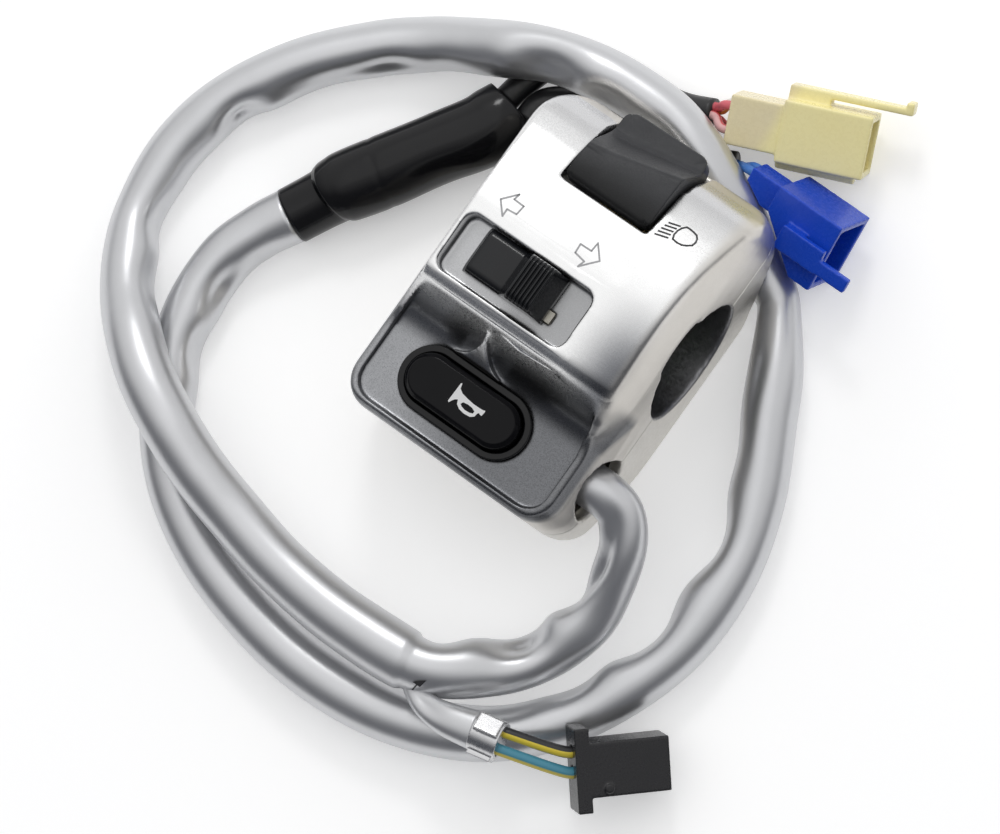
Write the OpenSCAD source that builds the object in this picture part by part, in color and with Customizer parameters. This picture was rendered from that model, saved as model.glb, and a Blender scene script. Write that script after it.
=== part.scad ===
// Left-hand handlebar switch cluster of a small motorbike, with its looped harness.
// X runs along the handlebar, Y up the face toward the dimmer and Z out of the face.
// The origin is the middle of the handlebar bore, and the part lies on its back.

/* [Handlebar clamp] */
// Diameter of the handlebar
bar_d = 22.2; // [22:0.1:25.4]
// Radial clearance between the bore and the handlebar
bar_fit = 0.05; // [0.02:0.01:0.15]
// Length of the clamp along the handlebar
housing_w = 46.7; // [46:0.1:52]
// Middle of the clamp along the handlebar
housing_x = 0.65; // [0:0.05:1]
// Metal behind the handlebar
back_wall = 7.35; // [6:0.05:9]

/* [Housing] */
// Height of the top edge above the bore
top_rise = 15.65; // [15:0.05:18]
// Drop of the bottom edge below the bore
bottom_drop = 26.25; // [26:0.05:30]
// Rim of the horn panel in front of the bore's axis
rim_z = 9.6; // [9:0.1:11]
// Depth of the horn panel below its rim
panel_sink = 1.3; // [0.6:0.1:2]
// Thickness of the horn panel
panel_t = 2; // [1.5:0.1:2.5]
// Width of the rim round the horn panel
rim_w = 1.5; // [1.2:0.1:2]
// Thickness of the outer walls
wall = 2.4; // [2:0.1:3]
// Radius of the outline's corners
corner_r = 5.5; // [3:0.1:7]
// Radius of the outline's corner left of the dimmer
top_corner_r = 9; // [6:0.1:10]
// Diameter of the two housing screws
housing_screw_d = 4; // [3:0.5:5]

/* [Turn signal switch] */
// Length of the recess in the face
recess_l = 25.5; // [25:0.1:28]
// Width of the recess in the face
recess_w = 10.8; // [10.2:0.1:11.4]
// Depth of the recess below the face
recess_d = 3.4; // [2.8:0.1:4]
// Thickness of the recess floor
recess_floor_t = 1.2; // [1:0.1:1.6]
// Middle of the recess along the handlebar
turn_x = -3.5; // [-5:0.1:-3]
// Middle of the recess up the face
turn_y = -6.6; // [-7:0.1:-6]
// Length of the knob
knob_l = 16; // [14:0.1:17]
// Width of the knob
knob_w = 8.5; // [7.5:0.1:9]
// Thickness of the knob's plate
knob_plate_t = 2.5; // [1.5:0.1:3.2]
// Height of the knob's ribbed ridge above its plate
knob_ridge_h = 4.4; // [2:0.1:6]
// Travel of the knob to each side
turn_travel = 3; // [2:0.1:3.3]

/* [Dimmer switch] */
// Width of the rocker along the handlebar
rocker_w = 16.6; // [14:0.1:18]
// Middle of the rocker along the handlebar
dimmer_x = 0.8; // [-1:0.1:2]
// Tilt of the rocker between low and high beam
rocker_tilt = 18; // [10:1:20]
// Diameter of the rocker's pivot pin
pivot_d = 2.5; // [2:0.1:3]

/* [Horn switch] */
// Length of the bezel along the handlebar
horn_l = 25; // [23:0.1:26]
// Width of the bezel
horn_w = 11.6; // [10.5:0.1:12]
// Width of the bezel's flange
bezel_rim = 1.2; // [1.1:0.1:1.8]
// Middle of the horn button along the handlebar
horn_x = -1.5; // [-2:0.1:-1]
// Drop of the horn button's middle below the bore
horn_drop = 16.05; // [15.6:0.05:16.5]
// Height of the button above the panel
horn_rise = 3.2; // [2.6:0.1:4]
// Travel of the button
horn_travel = 2; // [1:0.1:2.2]

/* [Harness] */
// Outer diameter of the silver sleeve
sleeve_d = 10; // [9:0.1:10.2]
// Diameter of the sleeve's exit hole
exit_d = 12; // [11:0.1:13]
// Drop of the exit hole's middle below the bore
exit_drop = 15.05; // [14.5:0.05:15.8]
// Diameter of the black wrap
wrap_d = 12.8; // [11:0.1:13]
// Diameter of the two black leads
lead_d = 4.8; // [4:0.1:5]
// Diameter of the branch sleeve
branch_d = 6; // [5:0.1:6.2]
// Diameter of the insulated wires
wire_d = 1.3; // [1:0.1:1.4]

/* [Fits] */
// Gap between faces that slide past each other
slide_gap = 0.2; // [0.1:0.05:0.3]
// Gap round moving pieces in their openings
open_gap = 0.35; // [0.3:0.05:0.5]
// Radial gap of the pivot in the rocker
pivot_gap = 0.05; // [0.02:0.01:0.1]
// Gap between fixed pieces and their seats
seat_gap = 0.1; // [0.05:0.05:0.2]

/* [Hidden] */
$fn = 48;
// Small overshoot that makes cuts pass right through
eps = 0.5;

bore_r = bar_d / 2 + bar_fit;
left_x = housing_x - housing_w / 2;
right_x = housing_x + housing_w / 2;
back_z = bore_r + back_wall;
top_h = bore_r + top_rise;
bottom_h = bore_r + bottom_drop;
horn_y = -(bore_r + horn_drop);
exit_y = -(bore_r + exit_drop);
// Foot of the slope between the face and the horn panel, and of the back's slope
slope_y = horn_y + 5.7;
back_slope_y = -(bore_r + 12.85);

// Turn signal stack, from the handlebar out to the face
plate_t = 1.2;
contact_t = 0.5;
carriage_t = 2.3;
bar_gap = 0.35;
turn_base_z = bore_r + bar_gap;
turn_base_top = turn_base_z + plate_t;
turn_bridge_z = turn_base_top + contact_t + slide_gap;
carriage_z = turn_bridge_z + contact_t;
carriage_top = carriage_z + carriage_t;
floor_under = carriage_top + slide_gap;
floor_z = floor_under + recess_floor_t;
face_z = floor_z + recess_d;

// Turn signal pieces in plan
knob_x = turn_x - 0.8;
knob_y = turn_y + 0.8;
knob_z = floor_z + open_gap;
ridge_l = 7.4;
rib_count = 5;
stem_l = 6;
stem_w = 4;
carriage_l = 8;
carriage_w = 8;
ball_d = 1.6;
turn_strip_w = 1.2;
turn_strip_pitch = 2.4;
turn_base_l = 24;
turn_base_x = turn_x - 0.8;
turn_base_y0 = turn_y - 5.6;
turn_base_y1 = turn_y + 6.2;
turn_tail_x = turn_base_x + turn_base_l / 2 + 0.4;
turn_screw_d = 1.6;
turn_screws_at = [[turn_base_x - turn_base_l / 2 + 1.8, turn_y],
  [turn_base_x + turn_base_l / 2 - 1.8, turn_y - 4.5]];
boss_wall = 0.9;
tab_l = 2.4;
tab_w = 2;
tab_at = [turn_x + 6.9, turn_y - 1.6];

// Dimmer pieces: the pivot and the rocker's outline follow the housing's top edge and face
pivot_y = top_h - 7.3;
pivot_z = 8.5;
rocker_low_y = top_h - 14.85;
rocker_under_z = pivot_z - 4.5;
notch_z = pivot_z - 6.7;
rocker_side = rocker_w / 2;
lug_t = 1.8;
lug_gap = 0.4;
dimmer_base_t = 1.6;
dimmer_ball_d = 2.2;
dimmer_bridge_l = 10;
dimmer_base_x0 = dimmer_x - rocker_side - lug_gap - lug_t;
dimmer_base_x1 = right_x - 8;
dimmer_base_y0 = bore_r + 1.1;
dimmer_base_y1 = top_h - wall - 0.3;
// Each strip under the rocker: middle up the face, height, tail along the handlebar
dimmer_strip_w = 1.2;
dimmer_strips = [[pivot_y - 6.2, 0.5, right_x - 11.3], [pivot_y - 4.2, 1.5, right_x - 9.1],
  [pivot_y + 3.5, 0.3, right_x - 9.1]];

// Horn pieces
panel_z = rim_z - panel_sink;
panel_under = panel_z - panel_t;
bezel_flange_t = 1;
bezel_sleeve_t = 0.6;
bezel_in_l = horn_l - 2 * bezel_rim;
bezel_in_w = horn_w - 2 * bezel_rim;
bezel_under = panel_under - 2.3;
horn_opening_l = bezel_in_l + 2 * bezel_sleeve_t + 2 * seat_gap;
horn_opening_w = bezel_in_w + 2 * bezel_sleeve_t + 2 * seat_gap;
button_l = bezel_in_l - 2 * open_gap;
button_w = bezel_in_w - 2 * open_gap;
button_top = panel_z + horn_rise;
button_bevel = 0.8;
button_flange_t = 1.4;
button_flange_top = bezel_under - slide_gap;
button_under = button_flange_top - button_flange_t;
spring_seat_d = 6.4;
spring_seat_z = button_under + 3.6;
horn_post_h = 2.2;
horn_base_t = 1.4;
horn_base_top = button_under - contact_t - horn_travel - 0.3 - horn_post_h;
horn_base_z = horn_base_top - horn_base_t;
horn_post_x = 5.5;
horn_post_l = 2.4;
horn_boss_r = 1.9;
horn_screw_d = 2;
horn_screws_at = [[left_x + 7, horn_y - 4.8], [right_x - 11.3, horn_y - 4.8]];

// Housing screws, bosses and the cable clamp
housing_boss_r = housing_screw_d / 2 + 1.4;
housing_screws_at = [[left_x + 7.2, top_h - 8.8], [right_x - 5.4, -(bore_r + 4.25)]];
housing_screw_seat = [-5, -6];
housing_screw_depth = [9, 7];
screw_head_h = 3;
exit_share = 0.78;
exit_r = sleeve_d / 2 * exit_share;
sleeve_in_x = right_x - 8;
clamp_x = sleeve_in_x + 1;
clamp_l = 3;
clamp_t = 1;
clamp_pad_z = -exit_r - 0.05;
clamp_foot = exit_r + 3.5;
clamp_screw_y = exit_r + 2.3;
clamp_screw_d = 1.6;

// Route of the silver sleeve: place, then share of the full radius.
// It lies round the housing in two turns, and its first turn climbs over the second and over the leads.
sleeve_route = [
  [sleeve_in_x, exit_y, 0, exit_share], [right_x - 3.5, exit_y, 0, exit_share],
  [right_x + 1.5, exit_y, 0, exit_share], [29, -27.5, -1, 0.8], [31.5, -31.5, -3, 0.86],
  [32.5, -38, -6.5, 0.94],
  [32.5, -45, -9.5, 1], [30, -53, -10.8, 1], [24.3, -60.2, -9.8, 1], [15, -66.8, -7, 1], [0, -68.5, -7, 1],
  [-15, -67.5, -6.8, 1], [-27, -65, -6, 1], [-36, -62.5, -4.3, 1], [-44.5, -59, -2.7, 1],
  [-52.5, -55, -2.6, 1],
  [-59.5, -50.5, -4.5, 1], [-66, -45.5, -8, 1], [-71.5, -39, -11, 1], [-75, -31.5, -13, 1],
  [-76.5, -20, -13.5, 1],
  [-74, -8, -13.5, 1], [-67, 4.5, -13.5, 1], [-57.5, 14.5, -13.5, 1], [-49.5, 20.5, -13, 1],
  [-42, 24.5, -11, 1],
  [-34, 28, -8, 1], [-26.5, 30.5, -6.5, 1], [-19, 32, -6, 1], [-12, top_h + 5.7, -6.5, 1],
  [-5, top_h + 5.4, -7, 1],
  [right_x - 22.5, top_h + 3.6, -7.5, 1], [right_x - 16, top_h + 1, -8.7, 0.96],
  [right_x - 9.5, top_h - 1.7, -11.2, 0.92], [right_x - 3.5, top_h - 5.5, -back_z + 4.6, 0.86],
  [right_x + 1.4, top_h - 8, -back_z + 4, 0.76], [right_x + 4.2, top_h - 10.8, -back_z + 3.9, 0.74],
  [right_x + 9.6, 7.5, -13.8, 0.94], [right_x + 13.4, 0, -13.5, 1], [43.5, -12, -13.5, 1],
  [47, -25, -13.5, 1],
  [47, -39, -13.5, 1], [42.5, -53, -13.5, 1], [35, -64.5, -13.5, 1], [25, -72.5, -13.5, 1],
  [12, -77.5, -13.5, 1],
  [-2, -79, -13.5, 1], [-16, -77.5, -13.5, 1], [-30, -73.5, -13.5, 1], [-42, -66.5, -13.5, 1],
  [-51, -56, -13.5, 1], [-56.5, -43, -13.5, 1], [-57.5, -31, -13.5, 1], [-55, -23, -13.5, 1],
  [-52, -17.5, -13.2, 1]];
// Route of the black wrap, with its share of the wrap's radius
wrap_route = [[-52, -17.5, -13.2, 0.8], [-48.4, -10.9, -12.84, 0.84], [-47.2, -8.7, -12.2, 0.97],
  [-42.5, -2, -12, 1],
  [-36.5, 7, -12, 1], [-32, 14, -12, 1], [-30.6, 19.8, -12, 1]];
wrap_end = [-30.6, 19.8, -12];
wrap_way = unit([1.4, 5.8, 0]);
wrap_side = [-wrap_way[1], wrap_way[0], 0];
// The two black leads start side by side in the wrap's end
main_lead_route = concat(lead_start(1), [[-28.5, 32, -15.9, 1], [-17, 35.8, -15.9, 1], [-7.5, 36.3, -15, 1],
  [-1, 38.3, -13.3, 1]]);
second_lead_route = concat(lead_start(-1), [[-20.5, 28, -15.9, 1], [-9, 30.4, -15.9, 1], [1, 31, -15.9, 1],
  [7, 33, -15, 1]]);
branch_route = [[14.5, -69.5, -7, 1], [18.5, -71.5, -4.8, 1], [23.5, -71.5, -4.3, 1], [29, -70.3, -4.2, 1]];
// Connectors: place of the rear, then roll, pitch and yaw
main_at = [2.2, 39.2, -12.1];
main_turn = [20, 0, 21];
second_at = [18.6, 29.9, -10.8];
second_turn = [28.5, -3.7, -1.6];
branch_at = [45.6, -66.2, -7];
branch_turn = [15, 22, 43];
clip_l = 5;
main_wire_d = 1.6;
branch_wire_d = 2;

// Flat outlines

function unit(v) = v / norm(v);
function flat(lists) = [for (list = lists) for (item = list) item];

// Arc that rounds the corner p between its neighbours a and b
function round_corner(a, p, b, r) =
  let (u = unit(a - p), w = unit(b - p), half = acos(u * w) / 2, c = p + unit(u + w) * r / sin(half),
    start = p + u * r / tan(half), end = p + w * r / tan(half),
    from = atan2(start[1] - c[1], start[0] - c[0]), to = atan2(end[1] - c[1], end[0] - c[0]),
    sweep = (to - from + 540) % 360 - 180, steps = max(2, ceil(abs(sweep) / 8)))
  [for (i = [0 : steps]) c + r * [cos(from + sweep * i / steps), sin(from + sweep * i / steps)]];

// Outline from corners given as [x, y, radius]
function rounded(corners) =
  let (n = len(corners), at = [for (c = corners) [c[0], c[1]]])
  flat([for (i = [0 : n - 1]) corners[i][2] == 0 ? [at[i]]
    : round_corner(at[(i + n - 1) % n], at[i], at[(i + 1) % n], corners[i][2])]);

module stadium(l, w) {
  square([l - w, w], center = true);
  for (side = [-1, 1])
    translate([side * (l - w) / 2, 0])
      circle(d = w);
}

module rounded_rect(l, w, r) {
  square([l - 2 * r, w], center = true);
  square([l, w - 2 * r], center = true);
  for (x = [-1, 1], y = [-1, 1])
    translate([x * (l / 2 - r), y * (w / 2 - r)])
      circle(r = r);
}

// Extrusions of an outline drawn in Y and Z along X, and of one drawn in X and Z along Y
module along_x(x0, x1) {
  translate([x0, 0, 0])
    rotate([90, 0, 90])
      linear_extrude(x1 - x0)
        children();
}

module along_y(y0, y1) {
  translate([0, y1, 0])
    rotate([90, 0, 0])
      linear_extrude(y1 - y0)
        children();
}

module block(x0, x1, y0, y1, z0, z1) {
  translate([x0, y0, z0])
    cube([x1 - x0, y1 - y0, z1 - z0]);
}

module rod_x(x0, x1, y, z, d) {
  translate([x0, y, z])
    rotate([0, 90, 0])
      cylinder(d = d, h = x1 - x0);
}

// Screw whose shank points up from its seat and whose head is below it
module screw(d, l, head_d, head_h) {
  cylinder(d = d, h = l);
  translate([0, 0, -head_h])
    cylinder(d = head_d, h = head_h);
}

// Round tubes swept along a route of [x, y, z, radius share]

function place(p) = [p[0], p[1], p[2]];
function routed(points) = [for (p = points) [p[0], p[1], p[2], 1]];
function tangents(p) = [for (i = [0 : len(p) - 1])
  i == 0 ? unit(p[1] - p[0])
  : i == len(p) - 1 ? unit(p[i] - p[i - 1])
  : unit(unit(p[i + 1] - p[i]) + unit(p[i] - p[i - 1]))];
function level_side(t) = unit(cross(t, abs(t[2]) < 0.9 ? [0, 0, 1] : [1, 0, 0]));
function carried(n, t) = unit(n - (n * t) * t);
function sides_of(t) = [for (i = 0, n = level_side(t[0]); i < len(t);
  i = i + 1, n = carried(n, t[min(i, len(t) - 1)])) n];
function tube_points(route, r, sides) =
  let (p = [for (q = route) place(q)], t = tangents(p), n = sides_of(t))
  flat([for (i = [0 : len(p) - 1]) [for (k = [0 : sides - 1])
    p[i] + r * route[i][3] * (cos(360 * k / sides) * n[i] + sin(360 * k / sides) * cross(t[i], n[i]))]]);
function tube_faces(rings, sides) = flat([
  [for (k = [1 : sides - 2]) [0, k, k + 1]],
  flat([for (i = [0 : rings - 2]) flat([for (k = [0 : sides - 1])
    let (a = i * sides + k, b = i * sides + (k + 1) % sides)
    [[a, a + sides, b + sides], [a, b + sides, b]]])]),
  [for (k = [1 : sides - 2]) [(rings - 1) * sides, (rings - 1) * sides + k + 1, (rings - 1) * sides + k]]]);

module tube(route, r, sides) {
  polyhedron(points = tube_points(route, r, sides), faces = tube_faces(len(route), sides), convexity = 6);
}

// Coil spring along Z from z0 to z1, as one unbroken tube of wire
module coil(r, wire, turns, z0, z1) {
  rings = 8 * turns;
  tube([for (i = [0 : rings])
    [r * cos(45 * i), r * sin(45 * i), z0 + wire / 2 + (z1 - z0 - wire) * i / rings, 1]], wire / 2, 6);
}

// Points close along a route, and the least gap that the tube leaves to itself
function dense(route, steps) = flat([for (i = [0 : len(route) - 2])
  [for (k = [0 : steps - 1]) route[i] + (route[i + 1] - route[i]) * k / steps]]);
function least_gap(route, r, steps, skip) =
  let (p = dense(route, steps))
  min([for (i = [0 : len(p) - 1 - skip]) min([for (j = [i + skip : len(p) - 1])
    norm(place(p[i]) - place(p[j])) - r * (p[i][3] + p[j][3])])]);
function route_length(route) = [for (i = [1 : len(route) - 1]) norm(place(route[i]) - place(route[i - 1]))]
  * [for (i = [1 : len(route) - 1]) 1];

function lead_start(side) =
  let (at = wrap_end + wrap_side * side * (lead_d / 2 + 0.2) + [0, 0, -3])
  [concat(at, 1), concat(at + wrap_way * 5, 1)];

// Housing

front_profile = rounded([[-bottom_h, 0, 0], [-bottom_h, rim_z, 2], [slope_y, rim_z + 0.3, 6],
  [turn_y - recess_w / 2 - 1.2, face_z - 0.3, 3.2], [7, face_z + 0.6, 40], [top_h - 4.2, face_z - 7.5, 9],
  [top_h, 4, 4], [top_h, 0, 0]]);
rear_profile = rounded([[-bottom_h, 0, 0], [-bottom_h, -8, 4], [back_slope_y, -back_z + 2.7, 8],
  [back_slope_y + 10, -back_z, 8],
  [top_h - 16.8, -back_z, 4], [top_h, 0, 0]]);
cavity_profile = [[-(bottom_h - wall), -eps], [-(bottom_h - wall), panel_under], [slope_y - 0.5, panel_under],
  [slope_y + 4.5, panel_under + 0.9], [slope_y + 7.9, panel_under + 4.3], [turn_y - 5.9, floor_under - 1],
  [turn_y - 5.7, floor_under],
  [turn_y + 7.2, floor_under], [turn_y + 8.5, face_z - 3.2], [top_h - 17.8, face_z - 3.5],
  [top_h - 5.5, max(face_z - 9.8, pivot_z + 2.7)],
  [top_h - wall, 3], [top_h - wall, -eps]];
rear_cavity_profile = [[-(bottom_h - wall), eps], [-(bottom_h - wall), -5.6], [back_slope_y, -back_z + 5.3],
  [back_slope_y + 7, -back_z + 4.2], [-(bore_r + 2.6), -9], [-(bore_r + 2.6), eps]];
// Lean of the sides at shares of the height of the face. The right side stands upright beside the bore
// and leans in beside the horn panel.
side_levels = [0, 0.14, 0.33, 0.52, 0.71, 1, 1.3];
left_lean = [0, 0.6, 1.6, 2.7, 3.85, 5.6, 7.4];
bore_lean = [0, 0.1, 0.35, 0.8, 1.9, 3.8, 5.8];
horn_lean = [0, 0.65, 2.1, 4.1, 6.2, 9.5, 13];
waist_l = 7;
function plan_outline(level, inset) =
  let (left = left_x + left_lean[level] + inset, right = right_x - bore_lean[level] - inset,
    horn_right = right_x - horn_lean[level] - inset, low = inset - bottom_h, top = top_h - inset,
    r = corner_r - inset, top_r = top_corner_r - inset)
  rounded([[left, low, r], [horn_right, low, r], [horn_right, slope_y, 0], [right, slope_y + waist_l, 0],
    [right, top, r], [left, top, top_r]]);

// Solid within the leaning sides, drawn in by an inset
module within_sides(inset) {
  rings = [for (i = [0 : len(side_levels) - 1]) plan_outline(i, inset)];
  points = flat([for (i = [0 : len(rings) - 1]) [for (p = rings[i]) [p[0], p[1], face_z * side_levels[i]]]]);
  polyhedron(points = points, faces = tube_faces(len(rings), len(rings[0])), convexity = 4);
}

module front_blank() {
  intersection() {
    along_x(left_x, right_x)
      polygon(front_profile);
    within_sides(0);
  }
}

module front_cavity() {
  intersection() {
    along_x(left_x, right_x)
      polygon(cavity_profile);
    translate([0, 0, -eps])
      within_sides(wall);
  }
}

module rear_blank() {
  intersection() {
    along_x(left_x, right_x)
      polygon(rear_profile);
    along_y(-bottom_h, top_h)
      polygon(rounded([[left_x, 0, 0], [left_x, -back_z, 1.5], [right_x, -back_z, 1.5], [right_x, 0, 0]]));
    translate([0, 0, -back_z])
      linear_extrude(back_z)
        polygon(plan_outline(0, 0));
  }
}

module bar_and_exit() {
  rod_x(left_x - eps, right_x + eps, 0, 0, 2 * bore_r);
  rod_x(right_x - wall - 2, right_x + eps, exit_y, 0, exit_d);
}

module front_bosses() {
  intersection() {
    front_blank();
    for (at = housing_screws_at)
      translate([at[0], at[1], 0])
        cylinder(r = housing_boss_r, h = face_z - 7);
  }
  for (at = turn_screws_at)
    translate([at[0], at[1], turn_base_top])
      cylinder(d = turn_screw_d + 2 * boss_wall, h = floor_under - turn_base_top + eps);
  for (at = horn_screws_at)
    translate([at[0], at[1], horn_base_top])
      cylinder(r = horn_boss_r, h = panel_under - horn_base_top + eps);
}

// Sunk horn panel: its floor runs up into the slope below the recess
panel_profile = rounded([[-bottom_h, panel_z, 0], [slope_y + 1.6, panel_z, 6],
  [turn_y - recess_w / 2 - 1, face_z + 1, 0], [-bottom_h, face_z + 1, 0]]);

module horn_panel() {
  difference() {
    intersection() {
      along_x(left_x, right_x)
        polygon(panel_profile);
      within_sides(rim_w);
    }
    gusset();
  }
}

// Gusset that stands above the horn button, between two hollows
module gusset() {
  hollow_r = 6.2;
  gusset_x = horn_x - 1.5;
  gusset_y = slope_y + 0.25;
  difference() {
    block(gusset_x - hollow_r, gusset_x + hollow_r, gusset_y, gusset_y + hollow_r, 0, face_z + 2);
    for (side = [-1, 1])
      translate([gusset_x + side * hollow_r, gusset_y + hollow_r, -eps])
        cylinder(r = hollow_r, h = face_z + 3);
  }
}

module front_openings() {
  translate([turn_x, turn_y, floor_z])
    linear_extrude(face_z)
      rounded_rect(recess_l, recess_w, 2);
  block(knob_x - stem_l / 2 - turn_travel - open_gap, knob_x + stem_l / 2 + turn_travel + open_gap,
    knob_y - stem_w / 2 - open_gap, knob_y + stem_w / 2 + open_gap, floor_under - eps, floor_z + eps);
  translate([tab_at[0], tab_at[1], floor_under - eps])
    linear_extrude(recess_floor_t + 2 * eps)
      square([tab_l + 2 * seat_gap, tab_w + 2 * seat_gap], center = true);
  block(dimmer_x - rocker_side - open_gap, dimmer_x + rocker_side + open_gap, rocker_low_y - open_gap,
    top_h + eps, notch_z, face_z + 5);
  translate([horn_x, horn_y, 0])
    linear_extrude(panel_z + eps)
      stadium(horn_opening_l, horn_opening_w);
  translate([horn_x, horn_y, panel_z])
    linear_extrude(bezel_flange_t + 1)
      stadium(horn_l + 2 * seat_gap, horn_w + 2 * seat_gap);
  horn_panel();
}

module front_screw_holes() {
  for (i = [0 : 1])
    translate([housing_screws_at[i][0], housing_screws_at[i][1], -eps])
      cylinder(d = housing_screw_d + 2 * seat_gap, h = housing_screw_depth[i] + 1 + eps);
  for (at = turn_screws_at)
    translate([at[0], at[1], turn_base_top - eps])
      cylinder(d = turn_screw_d + 2 * seat_gap, h = 3 + eps);
  for (at = horn_screws_at)
    translate([at[0], at[1], horn_base_top - eps])
      cylinder(d = horn_screw_d + 2 * seat_gap, h = 6 + eps);
}

module front_housing() {
  color("silver")
    difference() {
      union() {
        difference() {
          front_blank();
          front_cavity();
        }
        front_bosses();
      }
      bar_and_exit();
      front_openings();
      front_screw_holes();
    }
}

module rear_seats() {
  intersection() {
    rear_blank();
    union() {
      translate([housing_screws_at[1][0], housing_screws_at[1][1], -back_z])
        cylinder(r = housing_boss_r, h = back_z);
      block(clamp_x - eps, clamp_x + clamp_l + eps, exit_y - clamp_foot - 1, exit_y + clamp_foot + 0.2,
        -back_z, clamp_pad_z);
    }
  }
}

module rear_housing() {
  color("darkgray")
    difference() {
      union() {
        difference() {
          rear_blank();
          along_x(left_x + wall, right_x - wall)
            polygon(rear_cavity_profile);
        }
        rear_seats();
      }
      bar_and_exit();
      for (i = [0 : 1])
        translate([housing_screws_at[i][0], housing_screws_at[i][1], 0]) {
          translate([0, 0, -back_z])
            cylinder(d = housing_screw_d + 2 * seat_gap, h = back_z + eps);
          translate([0, 0, -back_z - eps])
            cylinder(d = 1.8 * housing_screw_d, h = back_z + eps + housing_screw_seat[i]);
        }
      for (side = [-1, 1])
        translate([clamp_x + clamp_l / 2, exit_y + side * clamp_screw_y, clamp_pad_z - 4])
          cylinder(d = clamp_screw_d + 2 * seat_gap, h = 4 + eps);
    }
}

module housing_screws() {
  color("gainsboro")
    for (i = [0 : 1])
      translate([housing_screws_at[i][0], housing_screws_at[i][1], housing_screw_seat[i]])
        screw(housing_screw_d, housing_screw_depth[i] - housing_screw_seat[i], 1.65 * housing_screw_d,
          screw_head_h);
}

module cable_clamp() {
  color("lightgray")
    difference() {
      along_x(clamp_x, clamp_x + clamp_l)
        translate([exit_y, 0])
          difference() {
            union() {
              circle(r = exit_r + seat_gap + clamp_t);
              translate([-clamp_foot, clamp_pad_z])
                square([2 * clamp_foot, clamp_t]);
            }
            circle(r = exit_r + seat_gap);
            translate([-2 * clamp_foot, clamp_pad_z - 10])
              square([4 * clamp_foot, 10]);
          }
      for (side = [-1, 1])
        translate([clamp_x + clamp_l / 2, exit_y + side * clamp_screw_y, clamp_pad_z - eps])
          cylinder(d = clamp_screw_d + 2 * seat_gap, h = clamp_t + 2 * eps);
    }
}

module cable_clamp_screws() {
  color("gainsboro")
    for (side = [-1, 1])
      translate([clamp_x + clamp_l / 2, exit_y + side * clamp_screw_y, clamp_pad_z + clamp_t])
        rotate([180, 0, 0])
          screw(clamp_screw_d, clamp_t + 3, 1.5 * clamp_screw_d, 1);
}

// Dimmer switch

// Lower lobe, crest, hollow and upper lobe of the rocker, drawn in Y and Z
rocker_profile = rounded([[rocker_low_y, face_z - 4.5, 0], [rocker_low_y, face_z - 0.7, 1],
  [top_h - 6.3, face_z - 3.2, 1.6], [top_h - 2.6, pivot_z + 1.2, 2.4], [top_h + 1.6, pivot_z + 0.4, 0.8],
  [top_h + 1.2, pivot_z - 2.6, 0.8],
  [top_h - 2.6, rocker_under_z, 1], [pivot_y - 5, rocker_under_z, 1]]);

module dimmer_rocker() {
  color("dimgray")
    difference() {
      along_x(dimmer_x - rocker_side, dimmer_x + rocker_side)
        polygon(rocker_profile);
      rod_x(dimmer_x - rocker_side - eps, dimmer_x + rocker_side + eps, pivot_y, pivot_z,
        pivot_d + 2 * pivot_gap);
      translate([dimmer_x, pivot_y, rocker_under_z - eps])
        cylinder(d = dimmer_ball_d + 2 * seat_gap, h = pivot_z - pivot_d / 2 - 0.6 - rocker_under_z + eps);
    }
}

module dimmer_pivot_pin() {
  color("gainsboro")
    rod_x(dimmer_x - rocker_side - lug_gap - lug_t, dimmer_x + rocker_side + lug_gap + lug_t,
      pivot_y, pivot_z, pivot_d);
}

module dimmer_base() {
  color("saddlebrown")
    difference() {
      union() {
        block(dimmer_base_x0, dimmer_base_x1, dimmer_base_y0, dimmer_base_y1, 0, dimmer_base_t);
        for (side = [-1, 1])
          translate([dimmer_x + side * (rocker_side + lug_gap + lug_t / 2), 0, 0])
            along_x(-lug_t / 2, lug_t / 2) {
              translate([pivot_y - 2.4, 0])
                square([4.8, pivot_z]);
              translate([pivot_y, pivot_z])
                circle(r = 2.4);
            }
      }
      rod_x(dimmer_base_x0 - eps, dimmer_base_x1 + eps, pivot_y, pivot_z, pivot_d + 0.04);
    }
}

module dimmer_bridge() {
  color("goldenrod")
    difference() {
      block(dimmer_x - dimmer_bridge_l / 2, dimmer_x + dimmer_bridge_l / 2, pivot_y - 4.8, pivot_y + 4.4,
        rocker_under_z - contact_t, rocker_under_z);
      translate([dimmer_x, pivot_y, rocker_under_z - contact_t - eps])
        cylinder(d = dimmer_ball_d + 2 * open_gap, h = contact_t + 2 * eps);
    }
}

module dimmer_contacts() {
  color("goldenrod")
    for (s = dimmer_strips)
      block(dimmer_x - dimmer_bridge_l / 2, s[2] + dimmer_strip_w / 2, s[0] - dimmer_strip_w / 2,
        s[0] + dimmer_strip_w / 2, dimmer_base_t, dimmer_base_t + s[1]);
}

dimmer_ball_z = dimmer_base_t + open_gap + dimmer_ball_d / 2;

module dimmer_detent_spring() {
  color("gainsboro")
    translate([dimmer_x, pivot_y, 0])
      coil(dimmer_ball_d / 2 - 0.25, 0.4, 4, dimmer_ball_z + dimmer_ball_d / 2, pivot_z - pivot_d / 2 - 0.6);
}

module dimmer_detent_ball() {
  color("gainsboro")
    translate([dimmer_x, pivot_y, dimmer_ball_z])
      sphere(d = dimmer_ball_d);
}

// Turn signal switch

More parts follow.
